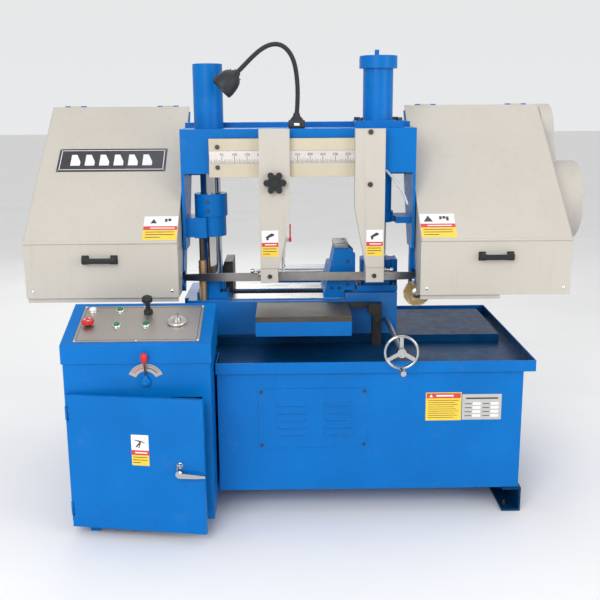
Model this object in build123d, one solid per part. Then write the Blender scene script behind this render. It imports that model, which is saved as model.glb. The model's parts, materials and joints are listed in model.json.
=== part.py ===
from build123d import *
import math
import os

# Horizontal double-column band saw. Millimetres, +Z up.
# It is drawn in machine coordinates: X to the operator's right, Y away from the
# operator from the base front, Z up from the floor. At the end every piece is
# moved so that the origin lies under the middle of the whole machine.

# ---- driving dimensions ----
# base
BASE_LEFT, BASE_RIGHT = -800.0, 839.0
BASE_NARROW_LEFT = -312.0
BASE_BACK = 870.0
BASE_BOTTOM, BASE_TOP = 98.0, 568.0
CABINET_BAY_BACK = 128.0
SHEET = 4.0
FOOT_WIDTH = 72.0

# chip tray and deck
TRAY_OVERHANG = 42.0
RIM_TOP = 611.0
DECK_Z = 602.0
DECK_FRONT = 405.0

# bed, table and vise
TABLE_Z = 750.0
BED_LEFT, BED_RIGHT = -480.0, 412.0
BED_FRONT, BED_BACK = 436.0, 810.0
PAD_LEFT, PAD_Z = 196.0, 776.0
WAY_LEFT, WAY_RIGHT = -280.0, 195.0
WAY_ROWS = ((464.0, 566.0), (662.0, 788.0))
TABLE_LEFT, TABLE_RIGHT = -170.0, 202.0
TABLE_FRONT, TABLE_BACK = 138.0, 374.0

# columns and lift
COLUMN_Y = 530.0
COLUMN_LEFT_X, COLUMN_RIGHT_X = -362.0, 330.0
COLUMN_R = 42.0
COLUMN_TOP = 1590.0
RUNNING_GAP = 0.05
TUBE_R = 60.0

# band and wheels: the wheel plane leans back by WHEEL_TILT from the floor
BLADE_Y, BLADE_Z = 410.0, 854.0
BLADE_WIDTH, BLADE_THICK = 34.0, 1.1
WHEEL_TILT = 62.0
WHEEL_R = 240.0
WHEEL_X = 728.0
WHEEL_UP = WHEEL_R + BLADE_THICK / 2
TWIST_START_LEFT, TWIST_START_RIGHT = -285.0, 352.0
TWIST_END = 668.0
DRIVE_SHAFT_R = 30.0

# head frame
BEAM_TOP = 1453.0
BLOCK_BOTTOM = 1277.0
BLOCK_FRONT, BLOCK_BACK = 400.0, 600.0
LEFT_PLATE_X, RIGHT_PLATE_X = -468.0, 474.0
PLATE = 12.0

# wheel guards
LEFT_GUARD, RIGHT_GUARD = (-1074.0, -474.0), (480.0, 1074.0)
GUARD_FRONT, GUARD_BOTTOM = 250.0, 805.0
RIDGE_Z = 1032.0
GUARD_TOP_Y, GUARD_TOP_Z = 850.0, 1538.0
SKIN = 2.5
HINGE_Y, HINGE_Z = 866.0, 1533.0
HINGE_PIN_R = 5.0

# drive
WORM_Y, WORM_Z = 750.0, 1125.0
MOTOR_Y, MOTOR_Z = 905.0, 1412.0
PULLEY_LEFT, PULLEY_RIGHT = 1086.0, 1112.0

# guide rail and arms
RAIL_Z = (1265.0, 1416.0)
RAIL_Y = (376.0, 400.0)
RAIL_BOLT_X, RAIL_BOLT_Z = -318.0, (1304.0, 1384.0)
ARM_Y = (336.0, 375.0)
LEFT_ARM = (-153.0, -32.0)
RIGHT_ARM = (225.0, 346.0)
ARM_TAPER_Z, ARM_BOTTOM_Z, BLOCK_END_Z = 1142.0, 903.0, 841.0

# operator console
CAB_LEFT, CAB_RIGHT = -846.0, -322.0
CAB_FRONT, CAB_BACK = -146.0, 120.0
CAB_BOTTOM, CAB_TOP = 52.0, 655.0
LID_FRONT_Z, LID_BACK_Z = 724.0, 812.0
DOOR_OPEN_AT_REST = 9.0


# ---- helpers ----
def box(x0, x1, y0, y1, z0, z1):
    """Axis-aligned block between two corners."""
    middle = Pos((x0 + x1) / 2, (y0 + y1) / 2, (z0 + z1) / 2)
    return middle * Box(x1 - x0, y1 - y0, z1 - z0)


def rod_x(y, z, x0, x1, r):
    return Pos((x0 + x1) / 2, y, z) * Rot(0, 90, 0) * Cylinder(r, x1 - x0)


def rod_y(x, z, y0, y1, r):
    return Pos(x, (y0 + y1) / 2, z) * Rot(90, 0, 0) * Cylinder(r, y1 - y0)


def rod_z(x, y, z0, z1, r):
    return Pos(x, y, (z0 + z1) / 2) * Cylinder(r, z1 - z0)


def prism_x(points, x0, x1):
    """Polygon of (y, z) points pushed from x0 to x1."""
    outline = Polyline(*[(x0, y, z) for y, z in points], close=True)
    return extrude(make_face(outline), x1 - x0, dir=(1, 0, 0))


def prism_y(points, y0, y1):
    """Polygon of (x, z) points pushed from y0 to y1."""
    outline = Polyline(*[(x, y0, z) for x, z in points], close=True)
    return extrude(make_face(outline), y1 - y0, dir=(0, 1, 0))


def prism_z(points, z0, z1):
    """Polygon of (x, y) points pushed from z0 to z1."""
    outline = Polyline(*[(x, y, z0) for x, y in points], close=True)
    return extrude(make_face(outline), z1 - z0, dir=(0, 0, 1))


# Tilted frame of the wheels: local X stays X, local Y climbs the wheel plane,
# local Z is the wheel axis, pointing to the front and up.
SIN_T = math.sin(math.radians(WHEEL_TILT))
COS_T = math.cos(math.radians(WHEEL_TILT))
AXLE_DIR = (0, -SIN_T, COS_T)
TILT = Plane(origin=(0, BLADE_Y, BLADE_Z), x_dir=(1, 0, 0), z_dir=AXLE_DIR).location


def tilted(shape):
    return TILT * shape


def tilt_yz(up, out):
    """Machine (y, z) of a point: up the wheel plane, and out along the axle."""
    return BLADE_Y + up * COS_T - out * SIN_T, BLADE_Z + up * SIN_T + out * COS_T


def guard_slope_z(y):
    """Height of the guard's sloping face at a distance from the front."""
    return RIDGE_Z + (y - GUARD_FRONT) * (GUARD_TOP_Z - RIDGE_Z) / (GUARD_TOP_Y - GUARD_FRONT)


# ---- base ----
def make_channel_feet():
    """Two rolled channels lying front to back, open sides facing each other."""
    feet = []
    for x0, inward in ((BASE_LEFT + 4, 1), (BASE_RIGHT + 11 - FOOT_WIDTH, -1)):
        outer = box(x0, x0 + FOOT_WIDTH, -6, BASE_BACK - 10, 0, BASE_BOTTOM)
        y0 = CABINET_BAY_BACK if inward == 1 else -6
        outer = outer & box(x0 - 1, x0 + FOOT_WIDTH + 1, y0, BASE_BACK, -1, BASE_BOTTOM + 1)
        shift = 8 * inward
        cut = box(x0 + shift, x0 + FOOT_WIDTH + shift, -10, BASE_BACK, 9, BASE_BOTTOM - 9)
        feet.append(outer - cut)
    return feet


VENT = (-159.0, 253.0, 270.0, 506.0)


def base_outline(inset):
    """Plan of the base: full width at the back, narrower beside the cabinet."""
    return [
        (BASE_NARROW_LEFT + inset, inset),
        (BASE_RIGHT - inset, inset),
        (BASE_RIGHT - inset, BASE_BACK - inset),
        (BASE_LEFT + inset, BASE_BACK - inset),
        (BASE_LEFT + inset, CABINET_BAY_BACK + inset),
        (BASE_NARROW_LEFT + inset, CABINET_BAY_BACK + inset),
    ]


def make_base_cabinet():
    """Welded sheet box, open under the tray, with the service hole at the front."""
    shell = prism_z(base_outline(0), BASE_BOTTOM, BASE_TOP)
    shell -= prism_z(base_outline(SHEET), BASE_BOTTOM + SHEET, BASE_TOP + 1)
    x0, x1, z0, z1 = VENT
    shell -= box(x0 + 22, x1 - 22, -1, SHEET + 1, z0 + 22, z1 - 22)
    for sx, sz in vent_screw_places():
        shell -= rod_y(sx, sz, -1, SHEET + 1, 3.0)
    return [shell]


def vent_screw_places():
    x0, x1, z0, z1 = VENT
    return [(x, z) for x in (x0 + 12, x1 - 12) for z in (z0 + 12, z1 - 12)]


LOUVRE_GROUPS = ((-86.0, 18.0), (92.0, 196.0))
LOUVRE_COUNT = 5
LOUVRE_PITCH = 29.0
LOUVRE_TOP_Z = 452.0


def make_vent_panel():
    """Cover plate with two stacks of pressed louvres, each open underneath."""
    x0, x1, z0, z1 = VENT
    panel = box(x0, x1, -2, 0, z0, z1)
    for left, right in LOUVRE_GROUPS:
        for row in range(LOUVRE_COUNT):
            top = LOUVRE_TOP_Z - row * LOUVRE_PITCH
            hood = [(-2, top), (-9, top - 9), (-9, top - 12), (-2, top - 12)]
            panel += prism_x(hood, left, right)
            slot = [(1, top - 3), (-2, top - 3), (-7.5, top - 9.5), (-7.5, top - 13), (1, top - 13)]
            panel -= prism_x(slot, left + 2, right - 2)
    for sx, sz in vent_screw_places():
        panel -= rod_y(sx, sz, -3, 1, 3.0)
    return [panel]


def column_bolt_places(x, half_x, y0, y1):
    return [(x + sx * (half_x - 17), y) for sx in (-1, 1) for y in (y0 + 15, y1 - 15)]


LEFT_BASE = (64.0, 474.0, 592.0, TABLE_Z, TABLE_Z + 26)
RIGHT_BASE = (86.0, 466.0, 600.0, PAD_Z, PAD_Z + 26)


def make_base_fasteners():
    """Pan screws of the vent panel and hex bolts of the column bases."""
    screws = []
    for sx, sz in vent_screw_places():
        screws.append(rod_y(sx, sz, -5, -2, 6.0) + rod_y(sx, sz, -2, 8, 2.8))
    for x, (half, y0, y1, low, top) in ((COLUMN_LEFT_X, LEFT_BASE), (COLUMN_RIGHT_X, RIGHT_BASE)):
        for bx, by in column_bolt_places(x, half, y0, y1):
            head = Pos(bx, by, top + 5) * extrude(RegularPolygon(11, 6), 5, both=True)
            screws.append(head + rod_z(bx, by, low - 20, top, 6.0))
    return screws


def make_chip_tray():
    """Folded tray: flared rim, open chip basin in front, raised deck behind."""
    left, right = BASE_LEFT - 30, BASE_RIGHT + TRAY_OVERHANG
    back = BASE_BACK + 30
    rim = [
        (BASE_NARROW_LEFT - 4, -12),
        (right, -12),
        (right, back),
        (left, back),
        (left, CABINET_BAY_BACK - 2),
        (BASE_NARROW_LEFT - 4, CABINET_BAY_BACK - 2),
    ]
    inner = [
        (BASE_NARROW_LEFT, -8),
        (right - 4, -8),
        (right - 4, back - 4),
        (left + 4, back - 4),
        (left + 4, CABINET_BAY_BACK + 2),
        (BASE_NARROW_LEFT, CABINET_BAY_BACK + 2),
    ]
    tray = prism_z(rim, BASE_TOP, RIM_TOP) - prism_z(inner, BASE_TOP + 4, RIM_TOP + 1)
    deck = box(BASE_LEFT, BASE_RIGHT, DECK_FRONT, BASE_BACK - 2, BASE_TOP + 4, DECK_Z)
    deck -= box(BASE_LEFT + 4, BASE_RIGHT - 4, DECK_FRONT + 4, BASE_BACK - 6, BASE_TOP - 1, DECK_Z - 4)
    tray += deck
    tray -= rod_z(STOP_X, STOP_Y, BASE_TOP - 2, DECK_Z + 2, 20.0)
    return [tray]


STOP_X, STOP_Y = -398.0, 453.0
BARREL_R, STOP_ROD_R = 16.0, 11.0


BED_RELIEF = (18.0, 46.0, 60.0)


def make_bed_casting():
    """Hollow bed with a raised right pad and two machined ways across the top."""
    bed = box(BED_LEFT, BED_RIGHT, BED_FRONT, BED_BACK, DECK_Z, TABLE_Z - 6)
    bed -= box(BED_LEFT + 24, BED_RIGHT - 17, BED_FRONT + 24, BED_BACK - 24, DECK_Z - 1, TABLE_Z - 46)
    for y0, y1 in WAY_ROWS:
        bed += box(WAY_LEFT, WAY_RIGHT + 60, y0, y1, TABLE_Z - 7, TABLE_Z)
    bed += box(BED_LEFT, WAY_LEFT - 12, BED_FRONT, BED_BACK, TABLE_Z - 7, TABLE_Z)
    bed += box(PAD_LEFT, BED_RIGHT, BED_FRONT, BED_BACK, TABLE_Z - 7, PAD_Z)
    # slot in the middle for the jaw keel, and the crank shaft hole through the front
    bed -= box(WAY_LEFT - 4, PAD_LEFT - 1, KEEL_Y[0] - 1, KEEL_Y[1] + 1, TABLE_Z - 60, TABLE_Z + 1)
    bed += box(-296, -270, KEEL_Y[0] - 12, KEEL_Y[1] + 12, CRANK_Z - 24, TABLE_Z - 44)
    bed += box(290, 312, KEEL_Y[0] - 12, KEEL_Y[1] + 12, CRANK_Z - 24, TABLE_Z - 44)
    bed -= rod_x(SCREW_Y, CRANK_Z, -300, 320, SCREW_R + RUNNING_GAP)
    bed -= rod_y(CRANK_X, CRANK_Z, BED_FRONT - 1, BED_FRONT + 40, SHAFT_R + RUNNING_GAP)
    bed -= rod_z(STOP_X, STOP_Y, DECK_Z - 1, TABLE_Z + 1, BARREL_R + 0.5)
    # corner relief that clears the left wheel box when the head is at its lowest
    relief_x, relief_y = BED_LEFT + BED_RELIEF[0], BED_FRONT + BED_RELIEF[1]
    bed -= box(BED_LEFT - 1, relief_x, BED_FRONT - 1, relief_y, TABLE_Z - BED_RELIEF[2], TABLE_Z + 1)
    for x, (half, y0, y1, low, top) in ((COLUMN_LEFT_X, LEFT_BASE), (COLUMN_RIGHT_X, RIGHT_BASE)):
        for bx, by in column_bolt_places(x, half, y0, y1):
            bed -= rod_z(bx, by, low - 22, low + 1, 6.2)
    return [bed]


KEEL_Y = (578.0, 650.0)
CRANK_X, CRANK_Z = 368.0, 664.0
SHAFT_R = 10.0
SCREW_Y, SCREW_R = 614.0, 9.0
BEVEL_NEAR, BEVEL_FAR = 15.0, 25.0


def make_fixed_jaw():
    """Short left jaw with a hardened face plate."""
    body = box(-345, -292, 604, 780, TABLE_Z, 884)
    body -= prism_y([(-346, 885), (-346, 800), (-318, 885)], 603, 781)
    face = box(-292, -282, 604, 780, TABLE_Z + 1, 884)
    return [body, face]


def make_moving_jaw():
    """Ribbed casting on the ways, leaning back from its clamping face, with a nut."""
    right = PAD_LEFT - 2
    step = PAD_Z + 6
    web = [(106, TABLE_Z), (right, TABLE_Z), (right, step), (238, step), (238, 936), (196, 978), (155, 978)]
    jaw = prism_y(web, 466, 490)
    jaw += prism_y(web, 596, 620)
    jaw += prism_y([(106, TABLE_Z), (right, TABLE_Z), (right, 800), (150, 862), (130, 862)], 758, 782)
    jaw += box(106, right, 466, 782, TABLE_Z, TABLE_Z + 24)
    jaw += prism_y([(106, TABLE_Z), (128, TABLE_Z), (177, 978), (155, 978)], 466, 620)
    jaw += prism_y([(106, TABLE_Z), (128, TABLE_Z), (152, 862), (130, 862)], 620, 782)
    jaw += box(155, 208, 466, 620, 962, 978)
    jaw += box(124, 190, KEEL_Y[0], KEEL_Y[1], 712, TABLE_Z)
    jaw += box(124, 190, SCREW_Y - 22, SCREW_Y + 22, CRANK_Z - 20, 712)
    jaw -= rod_x(SCREW_Y, CRANK_Z, 120, 194, SCREW_R + RUNNING_GAP)
    return [jaw]


def bevel(apex_plane):
    """Bevel gear with its apex on the plane's origin and its axis along the normal."""
    profile = [(SHAFT_R - 2, BEVEL_NEAR), (BEVEL_NEAR - 1, BEVEL_NEAR), (BEVEL_FAR - 1, BEVEL_FAR)]
    profile += [(BEVEL_FAR - 6, BEVEL_FAR + 8), (SHAFT_R - 2, BEVEL_FAR + 8)]
    outline = Polyline(*[(r, 0, h) for r, h in profile], close=True)
    gear = revolve(make_face(outline), Axis.Z)
    for index in range(12):
        notch = Pos(BEVEL_FAR - 3, 0, BEVEL_FAR - 3) * Rot(0, 45, 0) * Box(2, 2.4, 18)
        gear -= Rot(0, 0, index * 30) * notch
    return apex_plane.location * gear


def make_vise_screw():
    """Screw of the moving jaw, along the bed, with its bevel gear."""
    screw = rod_x(SCREW_Y, CRANK_Z, -290, CRANK_X - BEVEL_NEAR, SCREW_R)
    apex = Plane(origin=(CRANK_X, SCREW_Y, CRANK_Z), x_dir=(0, 1, 0), z_dir=(-1, 0, 0))
    return [screw + bevel(apex)]


WHEEL_HUB_Y = -70.0


def make_handwheel_shaft():
    """Long crank shaft from the handwheel to its bevel gear inside the bed."""
    shaft = rod_y(CRANK_X, CRANK_Z, WHEEL_HUB_Y - 14, SCREW_Y - BEVEL_NEAR, SHAFT_R)
    apex = Plane(origin=(CRANK_X, SCREW_Y, CRANK_Z), x_dir=(1, 0, 0), z_dir=(0, -1, 0))
    return [shaft + bevel(apex)]


HANDWHEEL_R = 60.0
RIM_TUBE_R = 5.5


def make_handwheel():
    """Chromed rim, three dished spokes, hub and a short crank handle."""
    axis = Pos(CRANK_X, WHEEL_HUB_Y, CRANK_Z) * Rot(90, 0, 0)
    wheel = axis * Torus(HANDWHEEL_R, RIM_TUBE_R)
    hub = axis * (Cylinder(17, 34) - Cylinder(SHAFT_R, 40))
    wheel += hub
    for angle in (90, 210, 330):
        spoke = Pos(HANDWHEEL_R / 2 + 6, 0, 0) * Box(HANDWHEEL_R - 16, 14, 9)
        wheel += axis * Rot(0, 0, angle) * spoke
    grip = Pos(CRANK_X, WHEEL_HUB_Y - 6, CRANK_Z - HANDWHEEL_R)
    handle = grip * Rot(90, 0, 0) * (Pos(0, 0, 18) * Cylinder(5, 24) + Pos(0, 0, 44) * Cylinder(10, 44))
    return [wheel, handle - wheel]


def make_outfeed_table():
    """Painted apron and ribs that carry the table."""
    top = TABLE_Z - 22
    apron = box(TABLE_LEFT, TABLE_RIGHT, TABLE_FRONT, TABLE_FRONT + 12, 672, top)
    for x in (TABLE_LEFT, TABLE_RIGHT - 12):
        apron += box(x, x + 12, TABLE_FRONT, BED_FRONT - 66, 672, top)
    apron += box(TABLE_LEFT, TABLE_RIGHT, 366, 378, 672, top)
    for x in (TABLE_LEFT + 30, TABLE_RIGHT - 60):
        apron += box(x, x + 30, 366, BED_FRONT, 676, top - 6)
    return [apron]


def make_outfeed_table_top():
    """Bare iron table top and the L-shaped edge bar beside it."""
    top = box(TABLE_LEFT, TABLE_RIGHT, TABLE_FRONT, TABLE_BACK, TABLE_Z - 22, TABLE_Z)
    top = fillet(top.edges().filter_by(Axis.X).group_by(Axis.Z)[-1], 2)
    bar = box(TABLE_LEFT, 300, TABLE_BACK + 0.5, 396, TABLE_Z - 22, TABLE_Z - 2)
    bar += box(285, 340, 358, 396, TABLE_Z - 46, TABLE_Z - 2)
    bar += box(300, 340, 360, 392, DECK_Z - 30, TABLE_Z - 40)
    bar += rod_y(320, 686, 346, 362, 15)
    bar += rod_y(320, 686, 338, 350, 9)
    return [top, bar]


def make_infeed_frame():
    """Two side channels behind the bed, joined by a cross bar on one leg pair."""
    frame = box(-136, -128, BASE_BACK + 32, 1262, 668, TABLE_Z - 4)
    frame += box(222, 230, BASE_BACK + 32, 1262, 668, TABLE_Z - 4)
    frame += box(-136, 230, 1254, 1262, 668, TABLE_Z - 6)
    frame += box(-136, 230, BASE_BACK + 32, BASE_BACK + 40, 572, TABLE_Z - 10)
    for x in (-136, 222):
        frame += box(x, x + 8, 1190, 1230, 0, 700)
        frame += box(x - 20, x + 28, 1176, 1244, 0, 8)
    frame += box(-136, 230, 1206, 1214, 200, 230)
    for x0, x1 in ((-140, -124), (218, 234)):
        frame -= rod_x(1216, TABLE_Z - 30, x0, x1, 10 + RUNNING_GAP)
    return [frame]


def make_infeed_roller():
    roller = rod_x(1216, TABLE_Z - 30, -124, 218, 30)
    roller += rod_x(1216, TABLE_Z - 30, -136, 230, 10)
    return [roller]


def make_columns():
    """Two hard-chromed guide columns."""
    left = rod_z(COLUMN_LEFT_X, COLUMN_Y, LEFT_BASE[3] + 4, COLUMN_TOP, COLUMN_R)
    right = rod_z(COLUMN_RIGHT_X, COLUMN_Y, RIGHT_BASE[3] + 4, COLUMN_TOP, COLUMN_R)
    return [chamfer(column.edges().group_by(Axis.Z)[-1], 3) for column in (left, right)]


def make_column_bases():
    """Flanged sockets that carry the columns."""
    sockets = []
    for x, (half, y0, y1, low, top), boss_top in (
        (COLUMN_LEFT_X, LEFT_BASE, 826.0),
        (COLUMN_RIGHT_X, RIGHT_BASE, 908.0),
    ):
        socket = box(x - half, x + half, y0, y1, low, top)
        if x < 0:
            socket += rod_z(x, COLUMN_Y, top, boss_top, 54)
        else:
            socket += box(x - 66, x + half, COLUMN_Y - 48, COLUMN_Y + 62, top, boss_top)
        socket -= rod_z(x, COLUMN_Y, low + 4, boss_top + 1, COLUMN_R)
        for bx, by in column_bolt_places(x, half, y0, y1):
            socket -= rod_z(bx, by, low - 1, top + 1, 6.2)
            socket -= rod_z(bx, by, top, boss_top + 1, 14.0)
        sockets.append(socket)
    return sockets


def make_lift_cylinder_barrel():
    """Bronze barrel standing in the bed beside the left column."""
    barrel = rod_z(STOP_X, STOP_Y, 540, 918, BARREL_R)
    barrel += rod_z(STOP_X, STOP_Y, 886, 890, BARREL_R + 2)
    barrel -= rod_z(STOP_X, STOP_Y, 546, 940, STOP_ROD_R + RUNNING_GAP)
    return [barrel]


def make_hydraulic_unit():
    """Oil tank, flange motor and pump, on the floor of the base."""
    floor = BASE_BOTTOM + SHEET
    tank = box(380, 720, 300, 640, floor, floor + 230)
    motor = rod_z(550, 470, floor + 230, floor + 400, 70)
    pump = box(420, 470, 330, 380, floor + 230, floor + 290)
    return [tank, motor, pump]


# ---- head, everything that rides up and down on the columns ----
def make_head_frame():
    """Welded gantry: two bush blocks, top plate, rear channel and side plates."""
    left_x0, left_x1 = LEFT_PLATE_X, -296.0
    right_x0, right_x1 = 262.0, RIGHT_PLATE_X
    frame = box(left_x0, right_x1, BLOCK_FRONT, 680, BEAM_TOP - PLATE, BEAM_TOP)
    frame += box(left_x0, right_x1, BLOCK_FRONT, BLOCK_FRONT + PLATE, 1417, BEAM_TOP)
    for x0, x1, column in ((left_x0, left_x1, COLUMN_LEFT_X), (right_x0, right_x1, COLUMN_RIGHT_X)):
        frame += box(x0, x1, BLOCK_FRONT, BLOCK_BACK, BLOCK_BOTTOM, BEAM_TOP - 1)
        frame -= box(x0 + PLATE, x1 - PLATE, BLOCK_FRONT + PLATE, BLOCK_BACK - PLATE, 1270, BEAM_TOP - PLATE)
        frame += rod_z(column, COLUMN_Y, BLOCK_BOTTOM, BEAM_TOP - 1, 60)
    # rear channel over the return run of the band
    rear = box(left_x0, right_x1, 604, 680, 1256, 1474) - box(left_x0, right_x1, 610, 674, 1250, 1466)
    frame += rear
    # side plates that carry the wheel boxes
    low, high = BEAM_TOP - 485, BEAM_TOP
    low_back, high_back = plate_back_y(low), plate_back_y(high)
    for x0 in (LEFT_PLATE_X, RIGHT_PLATE_X - PLATE):
        outline = [(BLOCK_FRONT, low), (low_back, low), (high_back, high), (BLOCK_FRONT, high)]
        frame += prism_x(outline, x0, x0 + PLATE)
        frame -= box(x0 - 1, x0 + PLATE + 1, 611, 673, 1250, 1310)
    # brush bracket and the two collar brackets
    frame += box(RIGHT_PLATE_X - PLATE, RIGHT_PLATE_X, 446, 480, 762, low + 30)
    frame += rod_y(BRUSH_X, BRUSH_Z, 448, 478, 15)
    frame -= rod_y(BRUSH_X, BRUSH_Z, 440, 490, 6 + RUNNING_GAP)
    frame += box(LEFT_PLATE_X + PLATE, -426, 438, 590, 1016, 1094)
    frame += box(402, RIGHT_PLATE_X - PLATE, 450, 590, 1066, 1092)
    for column in (COLUMN_LEFT_X, COLUMN_RIGHT_X):
        frame -= rod_z(column, COLUMN_Y, 1200, BEAM_TOP + 1, COLUMN_R + RUNNING_GAP)
    return [frame]


def plate_back_y(z):
    """Rear edge of a side plate, parallel to the wheel plane."""
    up = (z - BLADE_Z + 60 * COS_T) / SIN_T
    return tilt_yz(up, -60)[0]


BRUSH_X, BRUSH_Z, BRUSH_R = 490.0, 780.0, 56.0
SLEEVE_TOP = 1708.0
CYLINDER_TOP = 1686.0


def make_left_column_sleeve():
    """Painted tube over the top of the left column, closed by a flat lid."""
    sleeve = rod_z(COLUMN_LEFT_X, COLUMN_Y, BEAM_TOP, SLEEVE_TOP, TUBE_R)
    sleeve -= rod_z(COLUMN_LEFT_X, COLUMN_Y, BEAM_TOP - 1, SLEEVE_TOP - 8, TUBE_R - 8)
    return [fillet(sleeve.edges().group_by(Axis.Z)[-1], 3)]


def make_right_lift_cylinder():
    """Lift cylinder tube with its bolted foot flange, and the cap with a stud."""
    x, y = COLUMN_RIGHT_X, COLUMN_Y
    tube = rod_z(x, y, BEAM_TOP + 26, CYLINDER_TOP, TUBE_R + 1)
    tube += box(x - 97, x + 97, y - 90, y + 73, BEAM_TOP, BEAM_TOP + 28)
    tube -= rod_z(x, y, BEAM_TOP - 1, CYLINDER_TOP + 1, TUBE_R - 8)
    for bx, by in flange_bolt_places():
        tube -= rod_z(bx, by, BEAM_TOP - 1, BEAM_TOP + 30, 7.2)
    cap = rod_z(x, y, CYLINDER_TOP, CYLINDER_TOP + 50, 77)
    cap = fillet(cap.edges().group_by(Axis.Z)[-1], 4)
    cap += rod_z(x - 8, y - 20, CYLINDER_TOP + 50, CYLINDER_TOP + 72, 9)
    return [tube, cap]


def flange_bolt_places():
    x, y = COLUMN_RIGHT_X, COLUMN_Y
    return [(x + sx * 80, by) for sx in (-1, 1) for by in (y - 72, y + 56)]


CLAMP_BOLT_Z = (1120.0, 1158.0)


def make_column_collars():
    """Guide collars and the split clamp ring around the columns, under the blocks."""
    x, y = COLUMN_LEFT_X, COLUMN_Y
    lower = rod_z(x, y, 1012, 1096, 61.5)
    lower += box(-426, STOP_X + 22, STOP_Y - 15, y, 1012, 1096)
    lower -= rod_z(x, y, 1011, 1097, COLUMN_R + RUNNING_GAP)
    lower -= rod_z(STOP_X, STOP_Y, 1011, 1030, STOP_ROD_R)
    upper = rod_z(x, y, 1096, 1188, 68) - rod_z(x, y, 1095, 1189, COLUMN_R + RUNNING_GAP)
    upper -= box(x - 2, x + 2, y + 20, y + 80, 1095, 1189)
    for z in CLAMP_BOLT_Z:
        upper -= rod_y(x - 8, z, y - 70, y - 50, 6.0)
    right = rod_z(COLUMN_RIGHT_X, y, 1066, 1277, 61.5)
    right += rod_z(COLUMN_RIGHT_X, y, 1066, 1110, 69) + box(380, 402, 500, 560, 1066, 1092)
    right -= rod_z(COLUMN_RIGHT_X, y, 1060, 1280, COLUMN_R + RUNNING_GAP)
    return [lower, upper, right]


def make_head_bolts():
    """Flange bolts, clamp ring screws, rail screws and arm screws."""
    bolts = []
    for bx, by in flange_bolt_places():
        head = Pos(bx, by, BEAM_TOP + 34) * extrude(RegularPolygon(13, 6), 6, both=True)
        bolts.append(head + rod_z(bx, by, BEAM_TOP + 2, BEAM_TOP + 28, 7))
    for z in CLAMP_BOLT_Z:
        bolts.append(rod_y(COLUMN_LEFT_X - 8, z, COLUMN_Y - 74, COLUMN_Y - 50.5, 6.0))
    for z in RAIL_BOLT_Z:
        head = rod_y(RAIL_BOLT_X, z, RAIL_Y[0] - 5, RAIL_Y[0], 9)
        bolts.append(head + rod_y(RAIL_BOLT_X, z, RAIL_Y[0], RAIL_Y[1], 4.9))
    for z in (1236.0, 1440.0):
        arm = rod_y(285, z, ARM_Y[0] - 6, ARM_Y[0], 10)
        bolts.append(arm)
    return bolts


def make_lift_cylinder_rod():
    rod = rod_z(STOP_X, STOP_Y, 640, 1030, STOP_ROD_R)
    return [rod]


def make_guide_rail():
    """Rectangular slide bar with a groove for the scale."""
    rail = box(-352, 300, RAIL_Y[0], RAIL_Y[1], RAIL_Z[0], RAIL_Z[1])
    rail -= box(-353, 301, RAIL_Y[0] - 1, RAIL_Y[0] + 2, 1319, 1369)
    for z in RAIL_BOLT_Z:
        rail -= rod_y(RAIL_BOLT_X, z, RAIL_Y[0] - 1, RAIL_Y[1] + 1, 5)
    return [rail]


def make_ruler_scale():
    return [box(-351, 299, RAIL_Y[0] + 0.8, RAIL_Y[0] + 2, 1320, 1368)]


def arm_solid(x_straight, x_top, x_low, x_block):
    """Guide arm: straight outer edge, tapered inner edge and a stepped foot."""
    outline = [
        (x_straight, BEAM_TOP),
        (x_top, BEAM_TOP),
        (x_top, ARM_TAPER_Z),
        (x_low, ARM_BOTTOM_Z),
        (x_straight, ARM_BOTTOM_Z),
    ]
    arm = prism_y(outline, ARM_Y[0], ARM_Y[1])
    left, right = sorted((x_straight, x_block))
    foot = box(left, right, ARM_Y[0] + 4, 430, BLOCK_END_Z, ARM_BOTTOM_Z)
    foot += box(left, right, ARM_Y[1] - 1, 430, ARM_BOTTOM_Z, ARM_BOTTOM_Z + 36)
    slot_top = BLADE_Z + BLADE_WIDTH / 2 + 0.6
    foot -= box(left - 1, right + 1, BLADE_Y - 0.9, BLADE_Y + 0.9, BLOCK_END_Z - 1, slot_top)
    foot -= box(left - 1, right + 1, BLADE_Y + 0.8, BLADE_Y + 12, BLOCK_END_Z - 1, BLOCK_END_Z + 12)
    return arm, foot


def make_right_guide_arm():
    arm, foot = arm_solid(RIGHT_ARM[1] - 2, RIGHT_ARM[0], 271, 271)
    arm += box(RIGHT_ARM[0] + 10, RIGHT_ARM[1] - 14, ARM_Y[1] - 1, RAIL_Y[0], 1290, 1400)
    return [arm, foot]


def make_left_guide_arm():
    """Sliding arm: its saddle hooks under and behind the rail."""
    arm, foot = arm_solid(LEFT_ARM[0], LEFT_ARM[1], -75, -83)
    saddle = box(LEFT_ARM[0] + 4, LEFT_ARM[1] - 4, ARM_Y[1] - 1, 424, 1226, RAIL_Z[0] - 1)
    saddle += box(LEFT_ARM[0] + 4, LEFT_ARM[1] - 4, RAIL_Y[1] + 1, 424, 1226, 1300)
    saddle += box(LEFT_ARM[0] + 4, LEFT_ARM[1] - 4, ARM_Y[1] - 1, 396, RAIL_Z[1] + 0.6, 1440)
    arm += saddle
    arm -= rod_y(KNOB_X, KNOB_Z, 330, 430, 7 + RUNNING_GAP)
    return [arm, foot]


KNOB_X, KNOB_Z = -91.0, 1246.0


def make_star_knob():
    """Six-lobed clamp knob on a stud."""
    axis = Pos(KNOB_X, 318, KNOB_Z) * Rot(90, 0, 0)
    knob = axis * Cylinder(30, 24)
    for index in range(6):
        angle = math.radians(60 * index)
        knob += axis * Pos(33 * math.cos(angle), 33 * math.sin(angle), 0) * Cylinder(12, 24)
    knob = knob + axis * Pos(0, 0, 15) * Cylinder(16, 8)
    knob += rod_y(KNOB_X, KNOB_Z, 318, 412, 7)
    return [knob]


VALVE_X = -62.0


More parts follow.
